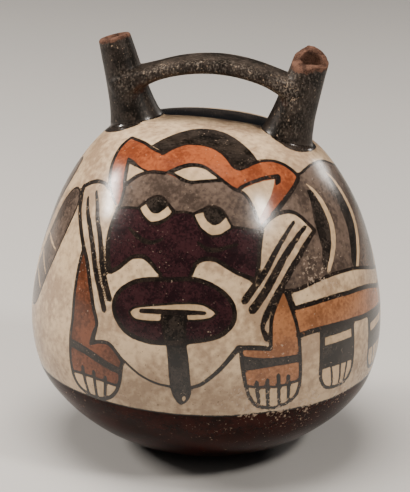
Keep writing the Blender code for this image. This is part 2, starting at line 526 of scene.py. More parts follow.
@dataclass
class Bottle:
    """The whole bottle as one fine piece of clay, hollow, with its bores and its broken tip."""

    body: BodyForm = field(default_factory=BodyForm)
    sides: int = 100
    rings_per_span: int = 4
    spout_sides: int = 56
    spout_rings: int = 44
    rim_steps: int = 4
    hollow_sides: int = 64
    hollow_rings_per_span: int = 2
    bore_sides: int = 36
    bore_rings: int = 16
    hand_waves: tuple[tuple[float, float], ...] = ((0.048, 0.00045), (0.015, 0.00010))
    still_height: float = 0.010
    edge_reaches: tuple[float, ...] = (1.2, 0.6)
    merge: float = 0.00001
    coarse_slack: float = 0.0020
    fine_slack: float = 0.0002
    flat_margin: float = 0.0001
    shoulder_joint: tuple[float, float] = (0.005, 0.018)
    strap_joint: tuple[float, float] = (0.011, 0.012)
    smear_factor: float = 0.5
    smear_rounds: int = 5
    break_depth: float = 0.0085
    break_slant: float = math.radians(27)
    break_turn: float = math.radians(-66)
    break_crest: float = 0.35
    break_crest_rounding: float = 0.0012
    break_squares: int = 46
    crumb_sizes: tuple[tuple[float, float], ...] = ((0.0037, 0.0009), (0.0018, 0.0004))
    crumb_shift: Vector = field(default_factory=lambda: Vector((3.5, 7.7, 1.3)))

    def __post_init__(self) -> None:
        """Places the spouts and the strap on the body."""
        self.left = Spout(self.body, "left_spout", -1, -0.0335, math.radians(16.8), 0.0360)
        self.right = Spout(self.body, "right_spout", 1, 0.0310, math.radians(14.8), 0.0440)
        self.strap = Strap(self.left, self.right)

    def turned(self, name: str, line: list[Vector], sides: int) -> bpy.types.Object:
        """Turns an outline about Z: a disc is extruded from ring to ring and closed at its top.

        Args:
            name: The new object's name.
            line: (radius, height) points upwards; the last one may lie on the axis.
            sides: How many sides each ring has.

        Returns:
            A closed solid, standing upright.
        """
        first = line[0]
        bpy.ops.mesh.primitive_circle_add(
            vertices=sides, radius=first.x, fill_type="TRIFAN", location=(0, 0, first.y), enter_editmode=True
        )
        obj = bpy.context.object
        obj.name = name
        bpy.ops.mesh.select_all(action="SELECT")
        for low, high in zip(line, line[1:]):
            bpy.ops.mesh.extrude_region_move(TRANSFORM_OT_translate={"value": (0, 0, high.y - low.y)})
            share = high.x / low.x
            bpy.ops.transform.resize(value=(share, share, 1), center_override=(0, 0, high.y))
        bpy.ops.mesh.select_all(action="SELECT")
        bpy.ops.mesh.remove_doubles(threshold=self.merge)
        bpy.ops.mesh.normals_make_consistent(inside=False)
        bpy.ops.object.mode_set(mode="OBJECT")
        select_only(obj)
        bpy.ops.object.transform_apply(location=True)
        return obj

    def make_body(self) -> bpy.types.Object:
        """The outside of the body, turned coarsely, divided once and put back on its true outline.

        Returns:
            A closed solid.
        """
        body = self.turned(PIECE, self.body.line(self.rings_per_span), self.sides)
        bpy.ops.object.mode_set(mode="EDIT")
        bpy.ops.mesh.select_all(action="SELECT")
        bpy.ops.mesh.subdivide(number_cuts=1)
        bpy.ops.object.mode_set(mode="OBJECT")
        put_places(body, self.body.lean(self.on_outline(places_of(body), self.coarse_slack)))
        return body

    def on_outline(self, upright: np.ndarray, slack: float) -> np.ndarray:
        """Puts points that lie nearly on the outline exactly on it.

        Args:
            upright: The points of an upright body, one row each.
            slack: How far off the outline a point may lie to be moved.

        Returns:
            The points, with the near ones moved.
        """
        climb, own, line = self.body.polar(upright)
        centre = np.array((0.0, 0.0, self.body.chart_centre))
        near = (np.abs(own - line) < slack) & (climb > self.body.foot / 2 + self.flat_margin)
        moved = upright.copy()
        moved[near] = centre + (upright[near] - centre) * (line[near] / own[near])[:, None]
        return moved

    def make_spout(self, spout: Spout) -> bpy.types.Object:
        """The outside of one spout, from inside the shoulder to its rounded rim.

        Args:
            spout: The spout.

        Returns:
            A closed solid where the spout stands.
        """
        low = -2 * self.body.wall
        top = spout.length - spout.rim_rounding
        alongs = [low + (top - low) * i / self.spout_rings for i in range(self.spout_rings + 1)]
        line = [Vector((float(spout.radius(along)), along)) for along in alongs]
        for i in range(1, self.rim_steps + 1):
            turn = math.pi / 2 * i / self.rim_steps
            inset = spout.rim_rounding * (1 - math.cos(turn))
            high = top + spout.rim_rounding * math.sin(turn)
            line.append(Vector((float(spout.radius(spout.length)) - inset, high)))
        obj = self.turned(spout.name, line, self.spout_sides)
        obj.data.transform(spout.stand())
        return obj

    def make_strap(self) -> bpy.types.Object:
        """The strap bridge: a rod cut into rings and moved onto the arch.

        Returns:
            A closed solid.
        """
        bpy.ops.mesh.primitive_circle_add(
            vertices=self.strap.sides, radius=1, fill_type="TRIFAN", location=(-1, 0, 0),
            rotation=(0, math.pi / 2, 0), enter_editmode=True,
        )
        obj = bpy.context.object
        obj.name = "strap"
        bpy.ops.mesh.select_all(action="SELECT")
        step = 2 / self.strap.sections
        for _ in range(self.strap.sections):
            bpy.ops.mesh.extrude_region_move(TRANSFORM_OT_translate={"value": (step, 0, 0)})
        bpy.ops.mesh.select_all(action="SELECT")
        bpy.ops.mesh.normals_make_consistent(inside=False)
        bpy.ops.object.mode_set(mode="OBJECT")
        select_only(obj)
        bpy.ops.object.transform_apply(location=True, rotation=True)
        put_places(obj, self.strap.place(places_of(obj)))
        return obj

    def make_hollow(self) -> bpy.types.Object:
        """The space inside: the body's cavity with both bores.

        Returns:
            A closed cutter.
        """
        line = self.body.inner_line(self.hollow_rings_per_span)
        cavity = self.turned("hollow", line, self.hollow_sides)
        put_places(cavity, self.body.lean(places_of(cavity)))
        for spout in (self.left, self.right):
            low, high = -2 * self.body.wall, spout.length - 2 * spout.rim_rounding
            alongs = [low + (high - low) * i / self.bore_rings for i in range(self.bore_rings + 1)]
            alongs.append(spout.length + 2 * self.body.wall)
            line = [Vector((float(spout.radius(min(a, high))) - spout.wall, a)) for a in alongs]
            bore = self.turned("bore", line, self.bore_sides)
            bore.data.transform(spout.stand())
            apply_modifier(cavity, "BOOLEAN", operation="UNION", object=bore)
            bpy.data.objects.remove(bore)
        return cavity

    def break_stand(self) -> Matrix:
        """The turn and place of the break's face."""
        tilt = Matrix.Rotation(self.break_turn, 4, "Z") @ Matrix.Rotation(self.break_slant, 4, "Y")
        return Matrix.Translation(self.right.point(self.right.length - self.break_depth)) @ tilt

    def crest_fall(self, off: Numbers) -> Numbers:
        """How far the break's face falls at a distance from its crest."""
        rounding = self.break_crest_rounding
        return self.break_crest * (np.hypot(off, rounding) - rounding)

    def make_break(self) -> bpy.types.Object:
        """A crumbled block that takes the tip off the right spout along a slanting, crested face.

        Returns:
            A closed cutter.
        """
        side, count = 2 * self.right.tip_diameter, self.break_squares
        bpy.ops.mesh.primitive_grid_add(
            x_subdivisions=count, y_subdivisions=count, size=side, enter_editmode=True
        )
        obj = bpy.context.object
        obj.name = "break"
        bpy.ops.mesh.select_all(action="SELECT")
        bpy.ops.mesh.extrude_region_move(TRANSFORM_OT_translate={"value": (0, 0, side)})
        bpy.ops.mesh.select_all(action="SELECT")
        bpy.ops.mesh.normals_make_consistent(inside=False)
        bpy.ops.object.mode_set(mode="OBJECT")
        co = places_of(obj)
        for row in co:
            if row[2] < side / 2:
                spot = Vector(row)
                crumbs = sum(d * noise.noise(spot / s + self.crumb_shift) for s, d in self.crumb_sizes)
                row[2] = crumbs - self.crest_fall(row[1])
        put_places(obj, co)
        obj.data.transform(self.break_stand())
        return obj

    def divide(self, piece: bpy.types.Object, busy: np.ndarray) -> None:
        """Divides the body's squares that touch chosen vertices, and puts the new points on the outline.

        Args:
            piece: The whole piece.
            busy: Which of its vertices are chosen.
        """
        select_only(piece)
        bpy.ops.object.mode_set(mode="EDIT")
        bpy.ops.mesh.select_mode(type="FACE")
        bpy.ops.mesh.select_all(action="DESELECT")
        bpy.ops.object.mode_set(mode="OBJECT")
        for face in piece.data.polygons:
            face.select = len(face.vertices) == 4 and any(busy[i] for i in face.vertices)
        bpy.ops.object.mode_set(mode="EDIT")
        bpy.ops.mesh.subdivide(number_cuts=1)
        bpy.ops.object.mode_set(mode="OBJECT")
        upright = self.body.upright(places_of(piece))
        put_places(piece, self.body.lean(self.on_outline(upright, self.fine_slack)))

    def soften_joints(self, piece: bpy.types.Object) -> None:
        """Rounds the creases where spouts, strap and shoulder were smeared together.

        Args:
            piece: The whole piece.
        """
        co = places_of(piece)
        near = np.zeros(len(co), dtype=bool)
        for spout, height in ((self.left, self.strap.along_left), (self.right, self.strap.along_right)):
            along, off = spout.local(co)
            outside = off > spout.radius(along) - spout.wall / 2
            for joint, (tall, wide) in ((0.0, self.shoulder_joint), (height, self.strap_joint)):
                near |= outside & (np.abs(along - joint) < tall) & (off < wide)
        select_only(piece)
        bpy.ops.object.mode_set(mode="EDIT")
        bpy.ops.mesh.select_mode(type="VERT")
        bpy.ops.mesh.select_all(action="DESELECT")
        bpy.ops.object.mode_set(mode="OBJECT")
        piece.data.vertices.foreach_set("select", near)
        bpy.ops.object.mode_set(mode="EDIT")
        bpy.ops.mesh.vertices_smooth(factor=self.smear_factor, repeat=self.smear_rounds)
        bpy.ops.object.mode_set(mode="OBJECT")

    def shape_by_hand(self, piece: bpy.types.Object) -> None:
        """Gives the turned form the slight unevenness of coiled and scraped clay.

        Args:
            piece: The whole piece.
        """
        co = places_of(piece)
        centre = np.array((0.0, 0.0, self.body.chart_centre))
        ray = co - centre
        ray /= np.linalg.norm(ray, axis=1)[:, None]
        lift = np.zeros(len(co))
        for size, depth in self.hand_waves:
            lift += [depth * noise.noise(Vector(row) / size) for row in co]
        lift *= np.clip(co[:, 2] / self.still_height, 0.0, 1.0)
        put_places(piece, co + ray * lift[:, None])

    def build(self) -> bpy.types.Object:
        """Fuses the parts into one skin, opens it up and softens its joints.

        Returns:
            The finished piece, unpainted.
        """
        piece = self.make_body()
        for part in (self.make_spout(self.left), self.make_spout(self.right), self.make_strap()):
            apply_modifier(piece, "BOOLEAN", operation="UNION", object=part)
            bpy.data.objects.remove(part)
        for cutter in (self.make_hollow(), self.make_break()):
            apply_modifier(piece, "BOOLEAN", operation="DIFFERENCE", object=cutter)
            bpy.data.objects.remove(cutter)
        self.soften_joints(piece)
        return piece


@dataclass(frozen=True)
class Area:
    """A filled motif: its closed outline, and the dark line painted along it."""

    slip: Slip
    points: Points
    chart: Chart = Chart.WRAP
    edge: float = 0.0
    edge_inset: float = 0.0


@dataclass(frozen=True)
class Stroke:
    """A brush stroke, with its widths in millimetres evenly spaced along it; black where it has no slip."""

    points: Points
    widths: tuple[float, ...]
    slip: Slip | None = None
    chart: Chart = Chart.WRAP


@dataclass
class Drawing:
    """Measures the motifs on a finished piece and keeps the distances on its mesh.

    Its lengths are in millimetres, and none of the distances is kept further than far.
    """

    piece: bpy.types.Object
    bottle: Bottle
    steps: int = 6
    rows_at_once: int = 6000
    far: float = 6.0
    back_seam: float = -130.0
    plan_start: float = 165.0
    axis_radius: float = 4.0
    skin: float = 2.0
    skin_slack: float = 0.05
    spout_start: float = 0.6
    spout_gain: float = 3.0
    brushed_start: float = 1.0
    bore_gain: float = 4.0
    underside_rub_and_shade_shares: tuple[float, float] = (0.1, 0.9)
    rim_margin: float = 2.0
    tip_reach: float = 10.0
    tip_start: float = 20.0
    thin_line: float = 0.42
    line_fullness: float = 1.25
    base_line: float = 0.9
    rim_wear: float = 1.5
    break_wear: float = 1.1
    base_edge: Points = (
        (-120, 87), (-55, 85.2), (0, 85.6), (18, 86.4), (28, 87.5), (50, 88), (70, 89.6), (100, 90), (180, 89)
    )

    def __post_init__(self) -> None:
        """Reads where each vertex lies in both charts."""
        self.co = places_of(self.piece)
        body = self.bottle.body
        upright = body.upright(self.co)
        climb, own, line = body.polar(upright)
        self.x, self.y = upright[:, 0] / MM, upright[:, 1] / MM
        self.radius = np.maximum(np.hypot(self.x, self.y), self.axis_radius)
        turn = np.degrees(np.arctan2(upright[:, 0], -upright[:, 1]))
        self.turn = np.where(turn < self.back_seam, turn + 360, turn)
        self.climb = climb / MM
        self.depth_in_wall = (line - own) / MM
        count = len(self.co)
        self.depth = {slip: np.full(count, -self.far) for slip in Slip}
        self.across = np.full(count, self.far)
        self.half = np.zeros(count)
        self.gap = np.full(count, self.far)
        self.wear = np.zeros(count)
        self.brushed = np.zeros(count)
        self.rubbed = np.zeros(count)

    def busy(self, reach: float) -> np.ndarray:
        """Which vertices of the body's outside lie near the edge of a slip or near a line.

        Args:
            reach: How near.

        Returns:
            A flag for each vertex.
        """
        edges = np.min([np.abs(self.depth[slip]) for slip in Slip], axis=0)
        return (np.minimum(edges, self.gap) < reach) & (np.abs(self.depth_in_wall) < self.skin_slack)

    def near(self, line: np.ndarray, chart: Chart) -> np.ndarray:
        """Indices of the body's outer vertices near a line.

        Args:
            line: The line's points in its chart.
            chart: The chart.

        Returns:
            The indices.
        """
        low, high = line.min(axis=0), line.max(axis=0)
        if chart is Chart.WRAP:
            slack = np.degrees(self.far / self.radius)
            found = (self.turn > low[0] - slack) & (self.turn < high[0] + slack)
            found &= (self.climb > low[1] - self.far) & (self.climb < high[1] + self.far)
        else:
            found = (self.x > low[0] - self.far) & (self.x < high[0] + self.far)
            found &= (self.y > low[1] - self.far) & (self.y < high[1] + self.far)
            found &= self.climb > self.plan_start
        return np.flatnonzero(found & (self.depth_in_wall < self.skin))

    def measure(
        self, line: np.ndarray, chart: Chart, closed: bool, rows: np.ndarray
    ) -> tuple[np.ndarray, np.ndarray]:
        """Measures vertices against a line.

        Args:
            line: The line's points in its chart.
            chart: The chart.
            closed: Whether the line is an area's outline.
            rows: The vertices' indices.

        Returns:
            Signed distances, positive inside an area or to one side of a stroke, and shares along the line.
        """
        if closed:
            line = np.vstack([line, line[:1]])
        if chart is Chart.WRAP:
            u = np.radians(line[:, 0][None, :] - self.turn[rows][:, None]) * self.radius[rows][:, None]
            v = line[:, 1][None, :] - self.climb[rows][:, None]
        else:
            u = line[:, 0][None, :] - self.x[rows][:, None]
            v = line[:, 1][None, :] - self.y[rows][:, None]
        du, dv = np.diff(u, axis=1), np.diff(v, axis=1)
        u, v = u[:, :-1], v[:, :-1]
        share = np.clip(-(u * du + v * dv) / (du**2 + dv**2 + TINY), 0.0, 1.0)
        pu, pv = u + share * du, v + share * dv
        square = pu**2 + pv**2
        nearest = np.argmin(square, axis=1)
        pick = (np.arange(len(rows)), nearest)
        distance = np.sqrt(square[pick])
        if closed:
            rise = np.where(np.abs(dv) < TINY, TINY, dv)
            crossings = ((v > 0) != (v + dv > 0)) & (u - v * du / rise > 0)
            sign = np.where(crossings.sum(axis=1) % 2 == 1, 1.0, -1.0)
        else:
            sign = np.where((du * pv - dv * pu)[pick] > 0, 1.0, -1.0)
        return distance * sign, (nearest + share[pick]) / du.shape[1]

    def measured(
        self, points: Points, chart: Chart, closed: bool
    ) -> tuple[np.ndarray, np.ndarray, np.ndarray]:
        """Smooths a motif's points and measures the vertices near it.

        Args:
            points: The motif's points.
            chart: Their chart.
            closed: Whether the motif is an area.

        Returns:
            The near vertices' indices, signed distances and shares along the line.
        """
        line = np.array(curve_through([Vector(p) for p in points], self.steps, closed))
        rows = self.near(line, chart)
        parts = [rows[i : i + self.rows_at_once] for i in range(0, len(rows), self.rows_at_once)]
        found = [self.measure(line, chart, closed, part) for part in parts]
        if not found:
            return rows, np.zeros(0), np.zeros(0)
        return rows, np.concatenate([f[0] for f in found]), np.concatenate([f[1] for f in found])

    def lay(self, slip: Slip, rows: np.ndarray, depth: np.ndarray) -> None:
        """Adds a slip where it lies deeper inside a motif than in those before it."""
        self.depth[slip][rows] = np.maximum(self.depth[slip][rows], np.clip(depth, -self.far, self.far))

    def ink(self, rows: np.ndarray, across: np.ndarray, half: np.ndarray) -> None:
        """Keeps a black line's offset and half width where it is the nearest line so far.

        Args:
            rows: The indices of the vertices near the line.
            across: How far each one lies to the line's side.
            half: Half the line's width at each one.
        """
        gap = np.abs(across) - half
        closer = gap < self.gap[rows]
        rows = rows[closer]
        self.gap[rows] = gap[closer]
        self.across[rows] = across[closer]
        self.half[rows] = half[closer]

    def paint(self, motif: Area | Stroke) -> None:
        """Adds one motif.

        Args:
            motif: The area or stroke.
        """
        if isinstance(motif, Area):
            rows, depth, _ = self.measured(motif.points, motif.chart, closed=True)
            self.lay(motif.slip, rows, depth)
            if motif.edge:
                self.ink(rows, depth - motif.edge_inset, np.full(len(rows), motif.edge / 2))
            return
        rows, across, share = self.measured(motif.points, motif.chart, closed=False)
        half = np.interp(share, np.linspace(0, 1, len(motif.widths)), motif.widths) / 2
        if motif.slip is None:
            self.ink(rows, across, half * self.line_fullness)
        else:
            self.lay(motif.slip, rows, half - np.abs(across))

    def paint_all(self) -> "Drawing":
        """Paints the whole picture.

        Returns:
            This drawing.
        """
        self.paint_base()
        self.paint_spouts()
        picture = {
            "headdress": headdress(),
            "face": face(),
            "mouth": mouth(),
            "whiskers": whiskers(),
            "arms": arms(),
            "cloak": Cloak().motifs(),
            "feathers": feathers(),
            "spout_feet": spout_feet(),
        }
        for name, motifs in picture.items():
            for motif in motifs:
                self.paint(motif)
            LOG.info("%s: %d motifs", name, len(motifs))
        self.rub(WORN_SPOTS)
        return self

    def paint_base(self) -> None:
        """The red base, up to its slowly waving edge, with a thin line along it."""
        edge = np.interp(self.turn, *zip(*self.base_edge), period=360)
        rows = np.flatnonzero(self.depth_in_wall < self.skin)
        depth = (edge - self.climb)[rows]
        self.lay(Slip.RED, rows, depth)
        self.ink(rows, depth, np.full(len(rows), self.base_line / 2))

    def paint_spouts(self) -> None:
        """The dark slip over the spouts and the strap, and the clay at the rim, in the break and inside."""
        everything = np.arange(len(self.co))
        proud = -self.depth_in_wall
        self.lay(Slip.SOOT, everything, (proud - self.spout_start) * self.spout_gain)
        self.brushed = np.clip(proud - self.brushed_start, 0.0, 1.0)
        left, right, strap = self.bottle.left, self.bottle.right, self.bottle.strap
        # Rubbed share: worn paint on the free strap, growing towards its underside as painted shade.
        middle, fall = strap.local(self.co)
        least, gain = self.underside_rub_and_shade_shares
        under = np.clip(fall / (strap.thickness / 2) * gain + least, 0.0, 1.0)
        self.rubbed = np.where(middle, under, 0.0)
        along, tip = self.tip_of(left)
        self.lay(Slip.CLAY, tip, (along[tip] - left.length) / MM + self.rim_wear)
        turned = np.array(self.bottle.break_stand().inverted())
        spots = self.co @ turned[:3, :3].T + turned[:3, 3]
        below = (spots[:, 2] + self.bottle.crest_fall(spots[:, 1])) / MM
        along, tip = self.tip_of(right)
        self.lay(Slip.CLAY, tip, below[tip] + self.break_wear)
        for spout in (left, right):
            along, off = spout.local(self.co)
            inside = (spout.radius(along) - spout.wall / 2 - off) / MM
            near = (along > 0) & (along < spout.length - self.rim_margin * MM) & (off < self.tip_reach * MM)
            near = np.flatnonzero(near)
            self.lay(Slip.CLAY, near, inside[near] * self.bore_gain)
        self.lay(Slip.CLAY, everything, self.depth_in_wall - self.bottle.body.wall / MM / 2)

    def tip_of(self, spout: Spout) -> tuple[np.ndarray, np.ndarray]:
        """Finds a spout's upper end.

        Args:
            spout: The spout.

        Returns:
            All vertices' distances along its axis, in metres, and the indices of those near its upper end.
        """
        along, off = spout.local(self.co)
        return along, np.flatnonzero((off < self.tip_reach * MM) & (along > self.tip_start * MM))

    def rub(self, spots: tuple[tuple[float, float, float, float, float], ...]) -> None:
        """Adds wear round places where the paint has rubbed or flaked off.

        Args:
            spots: The x, y and z of each place and its reach, in millimetres, and how worn it is.
        """
        for x, y, z, reach, amount in spots:
            away = np.linalg.norm(self.co / MM - np.array((x, y, z)), axis=1)
            self.wear = np.maximum(self.wear, amount * np.exp(-((away / reach) ** 2)))

    def keep(self) -> None:
        """Writes the distances to the mesh, in millimetres."""
        attributes = self.piece.data.attributes
        shares = {Trace.WEAR: self.wear, Trace.BRUSHED: self.brushed, Trace.RUBBED_AND_SHADED: self.rubbed}
        for name, values in (*self.depth.items(), *shares.items()):
            made = attributes.new(name.value, "FLOAT", "POINT")
            made.data.foreach_set("value", values.astype(np.float32))
        away = np.abs(self.across) - np.maximum(self.half, self.thin_line)
        line = np.stack([self.across, self.half, away], axis=1).astype(np.float32)
        made = attributes.new(Trace.LINE.value, "FLOAT_VECTOR", "POINT")
        made.data.foreach_set("vector", line.ravel())


def corner(*point: float) -> Points:
    """A point given twice, at which a motif's outline turns sharply."""
    return (point, point)


def headdress() -> list[Area | Stroke]:
    """The orange headband with its two lobes, the black cap behind it, and the cream ears and crest.

    Returns:
        Its motifs.
    """
    lobe_edge = ((-39.4, 174.6), (-43.75, 180), (-47.5, 187.1), (-49.8, 193), *corner(-50.8, 197.2))
    left_top = ((-44, 197.6), (-36, 197.4), (-28, 195.8))
    right_top = (
        (26, 191.6), (31, 193.4), (37, 194.8), (44, 194.6), (49.6, 192.4), (53.3, 188.9), (54.8, 185.2),
    )
    lobe_under = ((53, 183.4), (47.5, 179.6), (41.7, 175.7), (35, 170.4))
    arch = ((-17.5, 198.6), (-12, 203.2), (-5, 204.8), (3, 204.8), (10, 203), (16.5, 198.4))
    band = (
        *corner(-31, 167.6), (-36, 171), *lobe_edge[:3], *lobe_edge[4:],
        *left_top, *corner(-20, 194.3), *arch, *corner(20, 192), *right_top, *lobe_under,
        *corner(28.5, 164.5),
    )
    cap = (
        *corner(-20.5, -33.5), (-15, -27), (-10, -20.5), (-5, -16), (0, -14.3), (4, -14.6), (8, -16.5),
        (13, -21), (18, -26.5), (22, -31), *corner(24.5, -34.3), (21, -38.5), (18.5, -41.3), (16, -42),
        (14, -41), (11, -38), (8, -34.8), (4, -32.3), (-1, -31.2), (-5, -31.8), (-8, -33.3), (-11, -35.7),
        *corner(-14.4, -38.8), (-17, -36),
    )
    return [
        Area(Slip.ORANGE, band),
        Area(Slip.SOOT, cap, Chart.PLAN),
        Stroke(
            ((-31.6, 167.6), (-35.6, 170.8), *lobe_edge, *left_top, (-20, 194.6)), (0.7, 1.4, 1.5, 1.5, 1.3)
        ),
        Stroke(((20, 192.6), *right_top, *lobe_under), (1.2, 1.3, 1.5, 1.6, 1.6, 1.8)),
        Stroke(((-20, 194.6), *arch, (20, 192.4)), (1.5, 1.3, 1.3, 1.5)),
        Area(Slip.SOOT, (
            *corner(-38.6, 188), (-33, 187.2), (-27, 185.4), *corner(-21, 184.6), (-25, 182.8), (-28.4, 180),
            *corner(-31.5, 174.5), (-34, 179),
        )),
        Area(Slip.CREAM, (
            *corner(-34.9, 185.3), (-29.6, 184.9), *corner(-24.4, 184.1), (-28.4, 181.6),
            *corner(-31.3, 177.8), (-32.6, 181),
        )),
        Area(Slip.SOOT, (
            *corner(-14.5, 185.6), (-10.4, 188.7), (-5, 191.6), (0, 192.4), (5, 191.7), (10, 189),
            *corner(16, 184.6), (10, 184), (5, 183.2), (0, 182.2), (-5, 182.9), (-9, 184.6),
        )),
        Area(Slip.CREAM, (
            *corner(-9.4, 186.3), (-5, 189), (0, 190.2), (5, 189.6), (8.8, 187.6), *corner(11.5, 185.9),
            (5, 184.9), (-0.8, 183.9), (-5.2, 184.8),
        )),
        Area(Slip.CREAM, (
            *corner(22, 180.9), (27, 183), (33, 184.6), *corner(40.4, 185.4), (38.4, 182.1), (35.6, 178),
            (31.8, 173.4), *corner(28.5, 168.6), (27.3, 173.5), (25.2, 178.3),
        )),
        Stroke(((20.6, 180.9), (24.5, 183.2), (30, 185), (36, 186.3), (43, 186.6)), (1.2, 1.2, 1.4, 1.8)),
        Stroke(((43, 186.4), (42, 184.8), (40.6, 183.4)), (1.8, 2.2, 1.0)),
    ]


def eye(outline: Points, white: Points) -> list[Area | Stroke]:
    """One eye: dark lid and pupil, with the white as a crescent below.

    Args:
        outline: The whole eye.
        white: The crescent.

    Returns:
        Its motifs.
    """
    return [Area(Slip.SOOT, outline, edge=1.0, edge_inset=0.4), Area(Slip.CREAM, white)]


def face() -> list[Area | Stroke]:
    """The mask: grey-brown brow, maroon cheeks and nose, and the two eyes.

    Returns:
        Its motifs.
    """
    brow_left = (*corner(-31, 176.2), (-28.3, 180), (-25, 182.9), (-20, 184.8), (-14, 185.3))
    brow_right = ((15, 184.4), (19, 181.7), (23.75, 179.3), (26.5, 174.3), (28.2, 167.5))
    left_edge = ((-29.6, 169), (-30.2, 162), (-29.9, 154), (-28.3, 147.6), (-26.4, 141.4))
    right_edge = ((29, 163.4), (28.3, 160.7), (27.3, 155), (26.5, 149), *corner(25.2, 143.3))
    left_hump = ((-7.1, 143.4), (-8.9, 145), (-10.8, 147.1), (-13.4, 148.9), (-16, 148.9), (-18.6, 147.8),
                 (-20.8, 145.2), (-22.8, 142.6), *corner(-25.4, 140.4))
    right_hump = ((22, 144.9), (18.3, 146.8), (15, 149), (11.7, 151.1), (8.3, 151.5), (5.6, 150.3),
                  (4.2, 147.9), (3.4, 144.8))
    humps_lift = 0.7
    return [
        Area(Slip.UMBER, (
            *corner(-30, 158), (-30, 168), *brow_left, (-7, 184), (0, 182.4), (7, 184), *brow_right,
            *corner(28.2, 161),
        )),
        Area(Slip.MAROON, (
            *corner(-30.2, 166), (-26.25, 167.5), (-21.25, 168.4), (-12, 169.5), (-3, 170), (3, 169.8),
            (12, 168), (18.5, 165.6), (24, 164.7), *corner(28.6, 163.6), *right_edge[1:], *right_hump,
            (-1.8, 141), *left_hump, (-28.3, 147.6), (-29.9, 154), (-30.2, 162),
        )),
        Stroke(brow_left, (1.4, 1.4)),
        Stroke(brow_right + ((29.2, 164.6),), (1.2, 1.3)),
        Stroke((brow_left[0], *left_edge), (1.3, 1.3, 1.8, 2.0)),
        Stroke(right_edge, (1.6, 1.5, 1.4)),
        Stroke(((-30.2, 166), (-26.25, 167.5), (-21.25, 168.4)), (0.9, 0.9)),
        Stroke(((-6, 169.4), (-1.5, 170.2), (2.6, 169.8)), (0.9, 0.9)),
        Stroke(((17.4, 165.6), (21, 165.2), (28.4, 163.9)), (0.9, 0.9)),
        *eye(
            (*corner(-21.2, 168.8), (-18.4, 172.6), (-15, 175.2), (-11.5, 175.2), (-8, 172.8),
             *corner(-4.9, 170), (-6.9, 166.8), (-9.2, 164.4), (-11.9, 163.1), (-14.6, 163.5), (-18, 165.6)),
            (*corner(-20.2, 168.3), *corner(-18, 170.8), (-16.9, 169.6), (-15.2, 168.2), (-13.5, 167.7),
             (-11.6, 168.2), (-10, 169.7), *corner(-8.6, 171.6), *corner(-6.4, 169.3), (-8.4, 167),
             (-11, 165.2), (-14.2, 164.3), (-17.5, 166))),
        *eye(
            (*corner(1.6, 169.9), (5, 172.2), (8.4, 174), (11.5, 174), (14.6, 172), *corner(18.2, 165.2),
             (15.6, 163.2), (12.9, 161.5), (9.8, 161), (7, 162.4), (4.6, 164.8)),
            (*corner(2.6, 169.4), *corner(6.1, 170.7), (6.8, 168.8), (8.2, 167), (10.2, 165.8), (12.2, 166.2),
             (14, 167.8), *corner(15.6, 169.7), *corner(17.4, 165.6), (15, 163.7), (12.4, 162.3), (9.7, 162),
             (7.2, 163.5), (4.9, 165.7))),
        Stroke(
            ((-22.1, 159.8), (-19.6, 158.3), (-15.5, 156.2), (-12, 156), (-8.3, 158)), (0.8, 1.6, 1.6, 0.8)
        ),
        Stroke(((5, 158.4), (8.5, 156), (12, 156.1), (19.2, 158.4)), (0.8, 1.6, 1.6, 0.8)),
        Stroke(tuple((t, c + humps_lift) for t, c in left_hump), (1.1, 1.6, 1.4, 1.7)),
        Stroke(
            tuple((t, c + humps_lift) for t, c in (right_edge[-1], *right_hump)), (1.7, 1.4, 1.6, 1.1)
        ),
    ]


def mouth() -> list[Area | Stroke]:
    """The round mouth with its lips, the tongue that hangs from it, and the chin's line.

    Returns:
        Its motifs.
    """
    tongue = (
        *corner(-5.6, 129.4), (-4.4, 121.4), (-2.9, 115.7), (-2.1, 109), (-1.5, 102), (-0.7, 96.4),
        (0.6, 92.6), (2.2, 90.9), (3.9, 92.6), (5.3, 96.6), (4.9, 103), (4.1, 111), (3.2, 118.6),
        *corner(2.6, 130.6),
    )
    return [
        Area(Slip.MAROON, (
            (-22.9, 129.3), (-22, 133.6), (-19.6, 137.2), (-15.8, 140.4), (-10.8, 142.3), (-3, 143.6),
            (3.3, 144.5), (7.8, 143.8), (12.4, 141.6), (16.2, 138), (18.5, 133.4), (18.6, 128), (16.8, 124),
            (13.6, 120.8),
            (9.4, 119), (3.3, 117.4), (-4, 116), (-10, 115.8), (-15, 117), (-19, 120), (-22, 124.6),
        ), edge=1.9, edge_inset=0.9),
        Area(Slip.CREAM, (
            *corner(-16, 127), (-14.4, 128.9), (-10, 130.5), (-5, 132), (0, 133.2), (5, 133.8), (8.6, 133.2),
            *corner(12, 130.8), (10.4, 128.9), (7, 127.8), *corner(3.1, 127.3), *corner(2.9, 130.4),
            *corner(-5.2, 129.4), *corner(-5.4, 125.6), (-10, 124.9), (-14, 124.9),
        ), edge=1.0, edge_inset=-0.4),
        Stroke(
            ((-12.2, 128.3), (-8, 129), (-2, 129.7), (4, 130.3), (8.5, 130.5)), (1.8, 2.3, 2.2, 1.6),
            slip=Slip.INK,
        ),
        Area(Slip.SOOT, tongue, edge=1.0, edge_inset=0.4),
        Area(Slip.CREAM, ((2.6, 94.6), (3.2, 95.2), (3.7, 94.4), (3.6, 93), (3, 92.6), (2.6, 93.4))),
        Stroke(((-28.3, 110.4), (-25.4, 112), (-22.6, 112.6), (-20, 110), (-16, 106.2), (-11.7, 102.5),
                (-8, 100.5), (-5, 99.4), (-1.2, 98.9)), (0.9, 0.8, 0.8, 0.9)),
        Stroke(((5.2, 99.4), (8.3, 101.1), (11.7, 105), (15, 109.6), *corner(19.4, 117), (24.2, 116.8),
                (27.9, 116.4)), (1.2, 1.4, 1.7, 1.8)),
    ]


